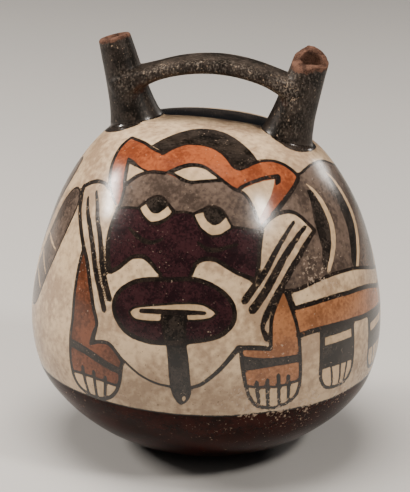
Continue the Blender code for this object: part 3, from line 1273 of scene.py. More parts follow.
def whiskers() -> list[Area | Stroke]:
    """The two cream whisker panels, each with its outline and two long bars.

    Returns:
        Its motifs.
    """
    left_side = (
        *corner(-55.3, 168.5), (-52.2, 164), (-50, 160), (-46.7, 155.6), (-43.3, 151), (-40, 146.5),
        (-36.7, 142), (-34.2, 136.4), (-31.7, 130), (-29.8, 124.6), (-28, 120.4), (-27.7, 117.6),
        (-28.6, 115), (-29.5, 110),
    )
    right_top = ((29.2, 164.6), (31, 166.9), (33.5, 168.8), (36.5, 170.3), (40, 171), (43.6, 170.8),
                 (47.2, 168.8), *corner(52.8, 161.6))
    right_side = ((50.4, 160), (47.5, 157.4), (45, 154.9), (42.5, 151.8), (40, 149), (37.4, 145.4),
                  (35, 141.6), (32.5, 137.8), (30.4, 133.8), (28.3, 129.6))
    return [
        Stroke((*corner(-55.3, 168.5), (-51.7, 171.5), (-48.3, 173.2), (-45, 173.9), (-41.9, 173.8),
                (-39, 172.6)), (1.8, 1.7, 1.4, 1.1)),
        Stroke(left_side, (1.9, 1.9, 1.8, 1.6, 1.4, 1.1)),
        Stroke(((-48.1, 165.6), (-44.5, 160.5), (-41, 156.4), (-38, 152), (-35, 146.8), (-31.7, 139.3),
                (-28.3, 132.1), (-25.6, 125.6)), (1.2, 2.1, 2.2, 2.1, 2.1)),
        Stroke(((-44.8, 169.3), (-41, 165), (-38, 160), (-34.5, 154.5), (-31.9, 149), (-29.7, 142.9),
                (-27.3, 137.1), (-24.2, 130.4)), (1.2, 2.0, 2.1, 2.1, 2.1)),
        Stroke((*right_top, *right_side), (1.3, 1.4, 1.4, 1.5, 2.0, 2.2, 2.2, 2.2)),
        Stroke(((28.5, 129.6), (27.4, 126.6), (27.2, 124), (28.6, 120.6)), (2.4, 1.8, 1.4, 2.4)),
        Stroke(((43.5, 166.4), (40.8, 163.9), (38.3, 161.2), (35.4, 157.7), (32.5, 153.4), (29.6, 148.4),
                (26.7, 144), (24.2, 140.4), (21.5, 136)), (1.2, 1.6, 2.0, 2.4, 2.6)),
        Stroke(((48.1, 163.6), (45, 161.4), (42.5, 159), (40, 156.6), (36.7, 152.7), (33.75, 148.2),
                (30.8, 143.2), (27.9, 138.2), (24.1, 132.3)), (1.5, 2.0, 2.4, 2.8, 3.0)),
    ]


def hand(
    slip: Slip, outline: Points, cuff: Points, nail_line: Points, nails: Points, fingers: tuple[Points, ...]
) -> list[Area | Stroke]:
    """One arm that ends in a hand with a black cuff and cream nails.

    Args:
        slip: The arm's slip.
        outline: The whole arm.
        cuff: The band round the wrist.
        nail_line: The line across the fingertips.
        nails: The cream area of the nails.
        fingers: The lines between the fingers.

    Returns:
        The arm's motifs.
    """
    return [
        Area(slip, outline, edge=1.7),
        Area(Slip.SOOT, cuff, edge=0.6, edge_inset=0.2),
        Area(Slip.CREAM, nails),
        Stroke(nail_line, (1.0, 1.0)),
        *[Stroke(finger, (1.5, 1.2)) for finger in fingers],
    ]


def arms() -> list[Area | Stroke]:
    """Both arms, hanging down outside the whiskers; the left one in a darker slip, as painted shade.

    Returns:
        Its motifs.
    """
    left = (
        *corner(-40.2, 147), (-36.7, 142), (-34.2, 136.4), (-31.7, 130), (-29.8, 124.6), (-28, 120.4),
        (-27.7, 117.6), *corner(-28.6, 111), (-22.9, 112.4), (-19.2, 109.2), *corner(-17.2, 106.2),
        (-17.7, 100), (-18.4, 95.7), (-20, 91.4), (-22.5, 88.2), (-25.8, 86.4), (-30, 86.3), (-33.3, 87.3),
        (-36, 89.6),
        (-37.6, 94), (-38.3, 101), (-38.7, 110), (-38.6, 117.9), (-39.3, 126), (-40, 135), (-40.3, 141),
    )
    right = (
        *corner(35, 140.6), (33, 136), (31, 131), (30, 125.7), *corner(29.8, 116), (25, 116.6),
        *corner(20.1, 117), (20.6, 111), (21.5, 104.5), (22.5, 99.3), (23.9, 95), (26, 91.6), (29, 90.2),
        (32.5, 89.7), (36.5, 91.2), (39.2, 93.8), (40.3, 98), (40.3, 104), (40, 112), (39.6, 119),
        (38.8, 126), (37.4, 132), (36.2, 137),
    )
    return [
        *hand(
            # The left arm is laid in a darker slip: painted shade on the left side.
            Slip.ARM_IN_SHADE,
            left,
            (*corner(-38.7, 108.9), (-34, 108.4), (-28, 106.8), (-23, 104.7), *corner(-17.6, 103),
             *corner(-18, 100.3), (-22.5, 101.6), (-27, 103.2), (-32, 104.8), *corner(-38.3, 105.7)),
            ((-37.9, 95), (-33, 95.6), (-26, 95.6), (-19, 94.8)),
            (*corner(-37.3, 94.4), (-33, 95), (-26, 95), *corner(-19.2, 94.2), (-20.6, 91.2), (-23, 88.4),
             (-26, 87), (-30, 86.9), (-33.5, 87.9), (-36.2, 90.2)),
            (((-32.7, 98.4), (-32, 92), (-31.2, 86.6)), ((-28, 98), (-27.8, 92), (-27.8, 86.4)),
             ((-23.4, 97), (-23.8, 92), (-24.5, 87.2)))),
        *hand(
            Slip.OCHRE,
            right,
            (*corner(20.7, 113.6), (25, 112.6), (32, 112.2), *corner(39.8, 112.8), *corner(39.9, 109.4),
             (32, 108.8), (26, 108), *corner(21.3, 107.4)),
            ((22.3, 100.8), (27, 99.9), (33, 99.8), (40.2, 101.4)),
            (*corner(22.8, 100), (27, 99.2), (33, 99.1), *corner(39.9, 100.6), (39.8, 97.4), (38.6, 94.2),
             (36.2, 92), (32.5, 90.5), (29, 90.9), (26.3, 92.4), (24.4, 95.4)),
            (((25.6, 102), (26, 98), (27, 93)), ((29, 102.6), (29.5, 96), (30.2, 91)),
             ((32.6, 104.4), (33.4, 96), (34, 91.4)), ((36, 103.6), (36.6, 98), (37, 93.4)))),
    ]


@dataclass(frozen=True)
class Cloak:
    """The grey-brown cape with its crescents, the cream and orange bands under it, and the row of feet.

    The face's side shows them as far as the right edge. From there they run on round the back.
    """

    cape_repeat: float = 20.5
    crescents: int = 8
    crescent_foot: float = 2.4
    crescent_tip: float = 5.2
    bow_lean: float = 3.08
    dark_lean: float = 3.96
    dark_wave: float = 0.6
    foot_repeat: float = 26.7
    feet: int = 6
    first_foot: float = 56.0
    half_foot: float = 8.25
    sole: float = 93.9
    ankle: float = 105.0
    bar_drop: float = 5.6
    cape_top: Points = (
        (54.6, 186.6), (58, 186.4), (63, 187.6), (70, 188.6), (78, 188.4), (86, 187), (93, 184), (100, 181),
        (112, 178), (128, 176), (150, 175), (172, 175), (192, 174), (206, 171), (217, 165),
    )
    cape_under: Points = (
        (35, 139.3), (40, 138.9), (47, 140.8), (55, 142.2), (63, 142.2), (71, 141.2), (80, 138.5),
        (90, 135), (100, 132.4), (115, 130.4), (135, 129.6), (155, 130.4), (175, 132.4), (195, 136),
        (210, 141),
    )
    band_middle: Points = (
        (37.8, 131.5), (45, 132.5), (55, 133.3), (64, 132.9), (72, 132.2), (80, 130.5), (90, 127),
        (100, 124.6), (115, 122.6), (135, 121.8), (155, 122.6), (175, 124.6), (195, 128), (209, 132.4),
    )
    band_under: Points = (
        (39.6, 120.4), (46, 121.5), (55, 121.5), (64, 121.1), (72, 120.2), (82, 119.4), (92, 117.8),
        (103, 115.6), (118, 114), (138, 113.4), (158, 114.2), (176, 116), (194, 119), (206, 123),
    )

    def height_on(self, line: Points, turn: float) -> float:
        """How high a line of the wrap chart runs at one turn."""
        return float(np.interp(turn, *zip(*line)))

    def crescent(self, index: int) -> list[Area | Stroke]:
        """One cream crescent of the cape, with the dark stroke inside its curve.

        Args:
            index: Its place along the cape, counted from the face.

        Returns:
            Its motifs.
        """
        shift = self.cape_repeat * index
        foot = self.height_on(self.cape_under, 54 + shift + 4 * min(index, 1)) + self.crescent_foot
        tip = self.height_on(self.cape_top, 58 + shift) - self.crescent_tip
        fall = foot - tip
        leans = (self.bow_lean, self.dark_lean) if index else (0.0, 0.0)
        bow = (
            (0, -5.2), (0.1, -2.6), (0.26, -0.6), (0.42, 0.1),
            (0.56, -0.3), (0.7, -1.9), (0.85, -4.6), (1, -8),
        )
        spine = tuple((63.2 + shift + b - leans[0] * u * u, tip + fall * u) for u, b in bow)
        edge = ((0.92, 53.0), (0.74, 53.4), (0.58, 53.8), (0.42, 54.6), (0.26, 55.2), (0.12, 55.6))
        waves = [self.dark_wave * math.sin(11 * u + index) for u, _ in edge]
        dark = (
            *corner(56.2 + shift, tip - 2.5),
            *[(t - 0.9, c) for t, c in spine[1:]],
            *[(t + shift - leans[1] * u * u + wave, tip + fall * u) for (u, t), wave in zip(edge, waves)],
        )
        return [
            Area(Slip.SOOT, dark),
            Stroke(spine, (0.5, 2.0, 2.9, 3.1, 3.0, 2.6, 2.0), slip=Slip.CREAM),
        ]

    def foot(self, index: int) -> list[Area | Stroke]:
        """One hanging foot under the band: dark, with a cream bar and cream nails.

        Args:
            index: Its place along the band, counted from the face.

        Returns:
            Its motifs.
        """
        middle = self.first_foot + self.foot_repeat * index
        half, low, ankle = self.half_foot, self.sole, self.ankle
        left, right = middle - half, middle + half
        top = self.height_on(self.band_under, middle)
        bar = top - self.bar_drop
        outline = (
            *corner(left, top), *corner(right, top), (right, ankle), (right - 0.4, 99.4), (right - 2.2, 95.6),
            (right - 5, low), (middle, low - 0.1), (left + 5, low + 0.3), (left + 2.6, 95.8),
            (left + 0.7, 99.6), (left, ankle),
        )
        nails = (
            *corner(right - 1.1, ankle - 0.8), (right - 1.4, 100), (right - 2.8, 96.8),
            (right - 5.2, low + 1.2), (middle, low + 1), (left + 5.2, low + 1.3), (left + 3.1, 96.8),
            (left + 1.6, 100),
            *corner(left + 1.2, ankle - 0.8),
        )
        cream_bar = (
            *corner(left + 2, bar + 1.7), *corner(right - 1.6, bar + 1.9), *corner(right - 1.6, bar - 1.4),
            *corner(left + 2, bar - 1.6),
        )
        toes = (((-3.4, ankle), (-2.4, 100), (-1.6, 95)), ((1.1, ankle), (1.5, 100), (1.8, 95.2)),
                ((4.5, ankle), (4.3, 100), (4, 96)))
        return [
            Area(Slip.SOOT, outline, edge=1.7, edge_inset=0.5),
            Area(Slip.CREAM, cream_bar),
            Area(Slip.CREAM, nails),
            *[Stroke(tuple((middle + t, c) for t, c in toe), (1.0, 0.9)) for toe in toes],
        ]

    def motifs(self) -> list[Area | Stroke]:
        """The whole cloak.

        Returns:
            Its motifs.
        """
        start = (
            (55, 184.4), (50, 181.2), (45, 178.1), (41.7, 175.7), (38, 172.8), *corner(35.5, 170.3),
            (39.2, 171), (43.6, 170.8), (47.2, 168.8), *corner(52.8, 161.6), (47.5, 157.4), (42.5, 151.8),
            (37.4, 145.4), *corner(34.9, 140.2),
        )
        end = ((219, 150), (221, 158))
        band_end = (211, 128)
        motifs: list[Area | Stroke] = [
            Area(Slip.UMBER, (*start, *self.cape_under[1:], *end, *reversed(self.cape_top))),
            Stroke((*self.cape_top, *reversed(end), self.cape_under[-1]), (1.0, 1.0)),
            Stroke(self.cape_under, (1.4, 1.2, 1.2, 1.2)),
            Area(Slip.OCHRE, (*self.band_middle, band_end, *reversed(self.band_under), *corner(39, 127))),
            Stroke((*self.band_middle, band_end, self.band_under[-1]), (1.6, 1.6)),
            Stroke(self.band_under, (1.9, 1.7, 1.4, 1.4)),
            Stroke(((37.3, 137.6), (37.9, 135), (38.8, 132.4)), (1.1, 1.1)),
        ]
        for index in range(self.crescents):
            motifs += self.crescent(index)
        for index in range(self.feet):
            motifs += self.foot(index)
        return motifs


def feathers() -> list[Area | Stroke]:
    """The grey tail feathers that reach round to the left side, each with cream veins.

    Returns:
        Its motifs.
    """
    first = (
        *corner(-58.9, 166.8), (-55.6, 165.9), (-53.2, 162), (-52.7, 157), (-53.8, 149), (-55.6, 141),
        (-57.8, 133), (-60.2, 125), (-62.4, 119), (-65.2, 114), (-69, 111.2), (-73.6, 111),
        *corner(-75.4, 114), (-73.6, 126), (-71.8, 133), (-70.6, 139), (-69.2, 145), (-68, 151),
        (-66.7, 157), (-64.4, 162.4), (-61.7, 165.8),
    )
    veins = (
        ((-69.4, 143), (-64.4, 141.5), (-57.2, 139.5)),
        ((-71.1, 135), (-66.7, 132), (-60.6, 128)),
        ((-72.2, 126), (-67.8, 124), (-63.3, 121)),
    )
    motifs: list[Area | Stroke] = []
    for turn, climb in ((0, 0), (-19, 9), (-38, 13)):
        outline, *bars = [tuple((t + turn, c + climb) for t, c in line) for line in (first, *veins)]
        motifs.append(Area(Slip.UMBER, outline, edge=0.9))
        motifs += [Stroke(bar, (0.8, 1.3, 0.8), slip=Slip.CREAM) for bar in bars]
    return motifs


def spout_feet() -> list[Area | Stroke]:
    """The dark slip that runs down from the spouts onto the shoulder, and the dark strip between them behind
    the strap: partly slip, partly painted shadow of the strap.

    Returns:
        Its motifs.
    """
    return [
        Area(Slip.SOOT, ((-46.5, 0), (-45, -6), (-43, -10.5), (-38, -15.2), (-32, -14), (-29, -10),
                         (-26.4, -4), (-25, 3), (-26, 10), (-32, 15), (-40, 14), (-45, 8)), Chart.PLAN),
        Area(Slip.SOOT, ((19, 4), (20, 0), (22, -5), (26, -10), (30.5, -13.6), (34, -15), (38, -13),
                         (41, -8), (43, 0), (42, 8), (36, 14), (28, 15), (21, 10)), Chart.PLAN),
        # The crown strip behind the strap: dark slip and painted shadow of the strap.
        Area(Slip.SOOT, (*corner(-26, 2.6), (-12, 2.4), (0, 2.9), (12, 2.6), *corner(21, 2.8),
                         *corner(24, 22), (12, 25.4), (-2, 24.6), (-16, 25.2), *corner(-29, 21)), Chart.PLAN),
    ]


# Places where the paint has rubbed or flaked off: x, y, z and reach in millimetres, and how worn it is.
WORN_SPOTS = (
    (29, -7, 158, 9, 1.0),
    (33, -10, 146, 9, 0.4),
    (-44, 0, 173, 6, 0.5),
    (-36, -6, 156, 6, 0.8),
    (38, -3, 166, 7, 0.8),
    (-22, -9, 162, 12, 0.7),
    (-4, -9, 166, 14, 0.6),
    (14, -9, 165, 12, 0.6),
    (44, -60, 34, 16, 0.45),
    (30, -66, 38, 7, 0.9),
    (41, -60, 38, 7, 1.0),
    (52, -51, 39, 7, 0.9),
    (52, -50, 38, 16, 0.45),
    (30, -62, 36, 12, 0.4),
    (36, -62, 46, 7, 0.75),
    (26, -67, 46, 6, 0.75),
    (62, -35, 41, 9, 0.8),
    (61, -36, 55, 4, 0.8),
    (37, -62, 66, 5, 0.5),
    (50, -45, 92, 14, 0.6),
    (35, -15, 138, 6, 0.5),
    (-37, -16, 139, 5, 0.4),
    (25, -66, 40, 10, 0.4),
)


SMOOTH = {"interpolation_type": "SMOOTHSTEP"}


@dataclass(frozen=True)
class SlipColour:
    """A slip's colour where it lies thick and where it is rubbed thin, and the size of its clouds."""

    thick: str
    thin: str
    mottle_mm: float = 9.0


class Pattern(Enum):
    """The uneven patterns of clay and paint.

    Each gives the size of its lumps in millimetres, its finer layers, and how much flatter than wide they
    are. A noise of scale 1 has lumps about half a metre across.
    """

    WOBBLE = (4.5, 3.0, 1.0)
    GRAIN = (0.8, 2.0, 1.0)
    CLOUD = (14.0, 4.0, 1.0)
    RAGS = (0.9, 3.0, 1.0)
    STAINS = (1.6, 6.0, 1.0)
    FLECKS = (0.55, 3.0, 1.0)
    FLAKES = (1.0, 3.0, 1.0)
    SPECKS = (0.30, 2.0, 1.0)
    DIRT = (0.45, 2.0, 1.0)
    RUBBING = (1.4, 4.0, 1.0)
    HAZE = (0.4, 6.0, 0.6)
    STREAKS = (6.4, 3.0, 7.0)
    PITS = (0.5, 2.0, 1.0)


class Reading:
    """What the layers of the clay's material read: place, patterns, and what the mesh keeps."""

    def __init__(self, tree: bpy.types.NodeTree) -> None:
        """Adds the nodes that are read.

        Args:
            tree: The material's node tree.
        """
        self.place = add_node(tree, "TexCoord").outputs["Object"]
        self.pattern = {}
        for pattern in Pattern:
            size, layers, flatness = pattern.value
            spot = add_node(tree, "Mapping", {"Vector": self.place, "Scale": (1.0, 1.0, flatness)})
            inputs = {"Vector": spot, "Scale": 0.5 / (size * MM), "Detail": layers}
            self.pattern[pattern] = add_node(tree, "TexNoise", inputs)
        self.kept = {}
        for name in (*Slip, Trace.WEAR, Trace.BRUSHED, Trace.RUBBED_AND_SHADED):
            self.kept[name] = add_node(tree, "Attribute", attribute_name=name.value).outputs["Fac"]


@dataclass(frozen=True)
class BurnishedSlip:
    """Low-fired earthenware under slip paints, polished with a pebble before firing.

    The pebble leaves a soft waxy shine with faint streaks along its path. The slips stay matt-coloured and
    a little cloudy, their brushed edges waver, and specks of them have flaked off over the centuries.
    A pair of limits gives the values at which a layer starts and at which it is full.
    """

    ground: SlipColour = SlipColour("9E856B", "CDB391")
    clay: SlipColour = SlipColour("36261F", "664A3D", 2.0)
    ink: SlipColour = SlipColour("15110F", "2A221D", 2.2)
    slips: tuple[tuple[Slip, SlipColour], ...] = (
        (Slip.RED, SlipColour("180805", "2E100A", 5.0)),
        (Slip.ORANGE, SlipColour("6F3720", "985231", 5.0)),
        # The left arm's darker slip is painted shade.
        (Slip.ARM_IN_SHADE, SlipColour("4A2817", "6E3F29", 5.0)),
        (Slip.OCHRE, SlipColour("784D31", "9F6C49", 5.0)),
        (Slip.UMBER, SlipColour("3D332D", "64554B", 6.0)),
        (Slip.MAROON, SlipColour("1B0E11", "341D20", 3.5)),
        (Slip.SOOT, SlipColour("110E0B", "332C27", 3.5)),
        (Slip.CREAM, SlipColour("A88F6F", "C6A986")),
        (Slip.INK, ink),
    )
    chip: str = "A8937E"
    # The stains' colour, also laid towards the foot as painted shade.
    stain_and_shade: str = "6E5643"
    # Clay showing through on the strap, kept dark as painted shade under it.
    rubbed: str = "3C231A"
    haze: str = "8F857A"
    fine_mottle_size: float = 1 / 7
    fine_mottle: float = 0.8
    mottle_limits: Limits = (0.30, 0.70)
    stain_limits: Limits = (0.56, 0.74)
    stain_share: float = 0.35
    # Heights between which the painted shade near the foot fades in, and its share.
    foot_shade_heights: Limits = (0.075, 0.030)
    foot_shade_share: float = 0.30
    edge_mm: Limits = (-0.20, 0.20)
    brush_waver: float = 0.48
    grain_waver: float = 0.35
    ragged_depth: float = 3.0
    line_waver: float = 0.7
    line_swelling: float = 0.25
    line_reach_mm: Limits = (0.3, 0.12)
    thin_limits: Limits = (0.6, 0.8)
    thin_share: float = 0.5
    cloud_gain: float = 0.25
    flake_gain: float = 0.16
    brushed_flake_loss: float = 0.10
    flake_size_gain: float = 1.1
    fleck_limits: Limits = (0.70, 0.76)
    flake_limits: Limits = (0.70, 0.74)
    flake_wear: Limits = (0.35, 0.6)
    speck_limits: Limits = (0.71, 0.78)
    speck_share: float = 0.6
    chip_share: float = 0.65
    dirt_limits: Limits = (0.34, 0.26)
    dirt_share: float = 0.5
    rubbed_and_shaded_limits: Limits = (0.34, 0.66)
    rubbed_and_shaded_share: float = 0.7
    haze_gain: float = 0.10
    haze_limits: Limits = (0.53, 0.73)
    haze_shares: Limits = (0.10, 0.40)
    bare_grain_mm: float = 3.0
    bare_edge_mm: Limits = (-0.4, 0.4)
    roughness: float = 0.22
    streak_roughness: float = 0.14
    brushed_roughness: float = 0.24
    bare_roughness: float = 0.45
    chip_roughness: float = 0.25
    specular: float = 0.5
    base_specular: float = 0.06
    brushed_specular_loss: float = 0.3
    streak_relief: float = 0.6
    pit_relief: float = 0.25
    chip_relief: float = 0.8
    dirt_relief: float = 0.4
    brushed_relief: float = 1.5
    bump: float = 0.35
    bump_depth_mm: float = 0.10

    def build(self) -> bpy.types.Material:
        """Builds the material, layer by layer as they lie on the clay.

        Returns:
            The material.
        """
        material = bpy.data.materials.new("burnished_slip_painted_earthenware")
        material.use_nodes = True
        tree = material.node_tree
        read = Reading(tree)
        waver = self.wavering(tree, read)
        colour = self.stained_and_shaded_ground(tree, read)
        covers = {}
        for slip, paint in self.slips:
            depth = add_node(tree, "Math", (read.kept[slip], waver), operation="ADD")
            covers[slip] = add_node(tree, "MapRange", (depth, *self.edge_mm), **SMOOTH)
            colour = self.lay(tree, colour, self.clouded(tree, read, paint), covers[slip], 1.0)
        colour = self.lined(tree, read, waver, colour)
        chips, dirt = self.losses(tree, read)
        colour = self.lay(tree, colour, self.chip, chips, self.chip_share)
        colour = self.lay(tree, colour, self.ink.thick, dirt, self.dirt_share)
        colour = self.rubbed_and_shaded_spouts(tree, read, colour)
        grain = add_node(tree, "Math", (read.pattern[Pattern.GRAIN], 0.5), operation="SUBTRACT")
        bare = (grain, self.bare_grain_mm, read.kept[Slip.CLAY])
        bare = add_node(tree, "Math", bare, operation="MULTIPLY_ADD")
        bare = add_node(tree, "MapRange", (bare, *self.bare_edge_mm), **SMOOTH)
        colour = self.lay(tree, colour, self.clouded(tree, read, self.clay), bare, 1.0)
        shader = tree.nodes["Principled BSDF"]
        tree.links.new(colour.outputs[2], shader.inputs["Base Color"])
        self.polish(tree, read, {"red": covers[Slip.RED], "bare": bare, "chips": chips, "dirt": dirt})
        return material

    def lay(self, tree: bpy.types.NodeTree, under: Shade, over: Shade | str, share: Shade,
            strength: Shade) -> bpy.types.Node:
        """Lays one colour over another.

        Args:
            tree: The material's node tree.
            under: The colour below.
            over: The colour on top, as a node or in hex.
            share: Where it lies, from 0 to 1.
            strength: How much of the colour below it hides there.

        Returns:
            The node with the new colour.
        """
        amount = add_node(tree, "Math", (share, strength), operation="MULTIPLY")
        over = linear(over) if isinstance(over, str) else over
        return add_node(tree, "Mix", {0: amount, 6: under, 7: over}, data_type="RGBA")

    def clouded(self, tree: bpy.types.NodeTree, read: Reading, paint: SlipColour) -> bpy.types.Node:
        """A slip's cloudy colour.

        Args:
            tree: The material's node tree.
            read: What the layers read.
            paint: The slip's colours.

        Returns:
            The node with its colour.
        """
        clouds = []
        for size, layers in ((paint.mottle_mm, 8.0), (paint.mottle_mm * self.fine_mottle_size, 4.0)):
            inputs = {"Vector": read.place, "Scale": 0.5 / (size * MM), "Detail": layers}
            clouds.append(add_node(tree, "TexNoise", inputs))
        fine = add_node(tree, "Math", (clouds[1], 0.5), operation="SUBTRACT")
        cloud = add_node(tree, "Math", (fine, self.fine_mottle, clouds[0]), operation="MULTIPLY_ADD")
        share = add_node(tree, "MapRange", (cloud, *self.mottle_limits), **SMOOTH)
        return add_node(
            tree, "Mix", {0: share, 6: linear(paint.thick), 7: linear(paint.thin)}, data_type="RGBA"
        )

    def wavering(self, tree: bpy.types.NodeTree, read: Reading) -> bpy.types.Node:
        """How far a painted edge strays from its true line, in millimetres: further where it is worn.

        Args:
            tree: The material's node tree.
            read: What the layers read.

        Returns:
            The node with the distance.
        """
        brush = add_node(tree, "Math", (read.pattern[Pattern.WOBBLE], 0.5), operation="SUBTRACT")
        grain = add_node(tree, "Math", (read.pattern[Pattern.GRAIN], self.grain_waver), operation="MULTIPLY")
        grain = add_node(tree, "Math", (grain, self.grain_waver / 2), operation="SUBTRACT")
        waver = add_node(tree, "Math", (brush, self.brush_waver, grain), operation="MULTIPLY_ADD")
        rags = add_node(tree, "Math", (read.pattern[Pattern.RAGS], 0.5), operation="SUBTRACT")
        rags = add_node(tree, "Math", (rags, read.kept[Trace.WEAR]), operation="MULTIPLY")
        return add_node(tree, "Math", (rags, self.ragged_depth, waver), operation="MULTIPLY_ADD")

    def stained_and_shaded_ground(self, tree: bpy.types.NodeTree, read: Reading) -> bpy.types.Node:
        """The cream ground with its stains, and painted shade that darkens it towards the foot.

        Args:
            tree: The material's node tree.
            read: What the layers read.

        Returns:
            The node with the colour.
        """
        stains = (read.pattern[Pattern.STAINS], *self.stain_limits)
        stains = add_node(tree, "MapRange", stains, **SMOOTH)
        colour = self.lay(tree, self.clouded(tree, read, self.ground), self.stain_and_shade, stains, self.stain_share)
        # Painted shade: the cream is laid darker towards the foot, in the stain colour.
        height = add_node(tree, "SeparateXYZ", (read.place,)).outputs["Z"]
        low = add_node(tree, "MapRange", (height, *self.foot_shade_heights), **SMOOTH)
        return self.lay(tree, colour, self.stain_and_shade, low, self.foot_shade_share)

    def lined(self, tree: bpy.types.NodeTree, read: Reading, waver: Shade, colour: Shade) -> bpy.types.Node:
        """The black lines over the slips, thin in places.

        Args:
            tree: The material's node tree.
            read: What the layers read.
            waver: How far a painted edge strays.
            colour: The slips' colour.

        Returns:
            The node with the colour.
        """
        kept = add_node(tree, "Attribute", attribute_name=Trace.LINE.value).outputs["Vector"]
        across, half, away = add_node(tree, "SeparateXYZ", (kept,)).outputs
        across = add_node(tree, "Math", (waver, self.line_waver, across), operation="MULTIPLY_ADD")
        across = add_node(tree, "Math", (across,), operation="ABSOLUTE")
        inside = add_node(tree, "Math", (half, across), operation="SUBTRACT")
        swelling = add_node(tree, "Math", (waver, self.line_swelling), operation="MULTIPLY")
        inside = add_node(tree, "Math", (inside, swelling), operation="ADD")
        line = add_node(tree, "MapRange", (inside, *self.edge_mm), **SMOOTH)
        near = add_node(tree, "MapRange", (away, *self.line_reach_mm), **SMOOTH)
        line = add_node(tree, "Math", (line, near), operation="MULTIPLY")
        thin = (read.pattern[Pattern.GRAIN], *self.thin_limits)
        thin = add_node(tree, "MapRange", thin, **SMOOTH)
        thin = add_node(tree, "Math", (thin, self.thin_share), operation="MULTIPLY")
        full = add_node(tree, "Math", (1.0, thin), operation="SUBTRACT")
        return self.lay(tree, colour, self.clouded(tree, read, self.ink), line, full)

    def losses(self, tree: bpy.types.NodeTree, read: Reading) -> tuple[bpy.types.Node, bpy.types.Node]:
        """Where the paint has flaked off, and where dirt sits in its pits.

        Args:
            tree: The material's node tree.
            read: What the layers read.

        Returns:
            The nodes with the share of chips and of dirt.
        """
        wear, brushed = read.kept[Trace.WEAR], read.kept[Trace.BRUSHED]
        cloud = add_node(tree, "Math", (read.pattern[Pattern.CLOUD], 0.5), operation="SUBTRACT")
        cloud = add_node(tree, "Math", (cloud, self.cloud_gain), operation="MULTIPLY")
        flecks = add_node(tree, "Math", (read.pattern[Pattern.FLECKS], cloud), operation="ADD")
        gain = (brushed, -self.brushed_flake_loss, self.flake_gain)
        gain = add_node(tree, "Math", gain, operation="MULTIPLY_ADD")
        flaking = add_node(tree, "Math", (wear, gain), operation="MULTIPLY")
        flecks = add_node(tree, "Math", (flecks, flaking), operation="ADD")
        chips = add_node(tree, "MapRange", (flecks, *self.fleck_limits), **SMOOTH)
        flakes = (flaking, self.flake_size_gain, read.pattern[Pattern.FLAKES])
        flakes = add_node(tree, "Math", flakes, operation="MULTIPLY_ADD")
        flakes = add_node(tree, "MapRange", (flakes, *self.flake_limits), **SMOOTH)
        worn = add_node(tree, "MapRange", (wear, *self.flake_wear), **SMOOTH)
        flakes = add_node(tree, "Math", (flakes, worn), operation="MULTIPLY")
        chips = add_node(tree, "Math", (chips, flakes), operation="MAXIMUM")
        specks = (read.pattern[Pattern.SPECKS], *self.speck_limits)
        specks = add_node(tree, "MapRange", specks, **SMOOTH)
        specks = add_node(tree, "Math", (specks, self.speck_share), operation="MULTIPLY")
        chips = add_node(tree, "Math", (chips, specks), operation="MAXIMUM")
        dirt = (read.pattern[Pattern.DIRT], *self.dirt_limits)
        return chips, add_node(tree, "MapRange", dirt, **SMOOTH)

    def rubbed_and_shaded_spouts(self, tree: bpy.types.NodeTree, read: Reading, colour: Shade) -> bpy.types.Node:
        """The brown clay that shows through under the strap, laid most on its underside as painted shade too,
        and the pale haze on spouts and strap.

        Args:
            tree: The material's node tree.
            read: What the layers read.
            colour: The colour below.

        Returns:
            The node with the colour.
        """
        wear = read.kept[Trace.WEAR]
        rubbed = (read.pattern[Pattern.RUBBING], *self.rubbed_and_shaded_limits)
        rubbed = add_node(tree, "MapRange", rubbed, **SMOOTH)
        rubbed = add_node(tree, "Math", (read.kept[Trace.RUBBED_AND_SHADED], rubbed), operation="MULTIPLY")
        colour = self.lay(tree, colour, self.rubbed, rubbed, self.rubbed_and_shaded_share)
        hazy = add_node(
            tree, "Math", (wear, self.haze_gain, read.pattern[Pattern.HAZE]), operation="MULTIPLY_ADD"
        )
        hazy = add_node(tree, "MapRange", (hazy, *self.haze_limits), **SMOOTH)
        least, gain = self.haze_shares
        share = add_node(tree, "Math", (wear, gain, least), operation="MULTIPLY_ADD")
        hazy = add_node(tree, "Math", (hazy, share), operation="MULTIPLY")
        return self.lay(tree, colour, self.haze, hazy, read.kept[Trace.BRUSHED])

    def polish(self, tree: bpy.types.NodeTree, read: Reading, shares: dict[str, bpy.types.Node]) -> None:
        """Sets the shine and the low relief: smooth where burnished, rough where bare or chipped.

        Args:
            tree: The material's node tree.
            read: What the layers read.
            shares: Where the red base, bare clay, chips and dirt lie.
        """
        shader = tree.nodes["Principled BSDF"]
        streak, brushed = read.pattern[Pattern.STREAKS], read.kept[Trace.BRUSHED]
        rough: Shade = self.roughness - self.streak_roughness / 2
        for share, gain in (
            (streak, self.streak_roughness),
            (brushed, self.brushed_roughness),
            (shares["bare"], self.bare_roughness),
            (shares["chips"], self.chip_roughness),
        ):
            rough = add_node(tree, "Math", (share, gain, rough), operation="MULTIPLY_ADD")
        tree.links.new(rough.outputs[0], shader.inputs["Roughness"])
        specular = (shares["red"], self.base_specular - self.specular, self.specular)
        specular = add_node(tree, "Math", specular, operation="MULTIPLY_ADD")
        specular = (brushed, -self.brushed_specular_loss, specular)
        specular = add_node(tree, "Math", specular, operation="MULTIPLY_ADD")
        tree.links.new(specular.outputs[0], shader.inputs["Specular IOR Level"])
        pits = add_node(tree, "Math", (read.pattern[Pattern.PITS], self.pit_relief), operation="MULTIPLY")
        relief = add_node(tree, "Math", (streak, self.streak_relief, pits), operation="MULTIPLY_ADD")
        for name, depth in (("chips", self.chip_relief), ("dirt", self.dirt_relief)):
            sunk = add_node(tree, "Math", (shares[name], depth), operation="MULTIPLY")
            relief = add_node(tree, "Math", (relief, sunk), operation="SUBTRACT")
        gain = add_node(tree, "Math", (brushed, self.brushed_relief, 1.0), operation="MULTIPLY_ADD")
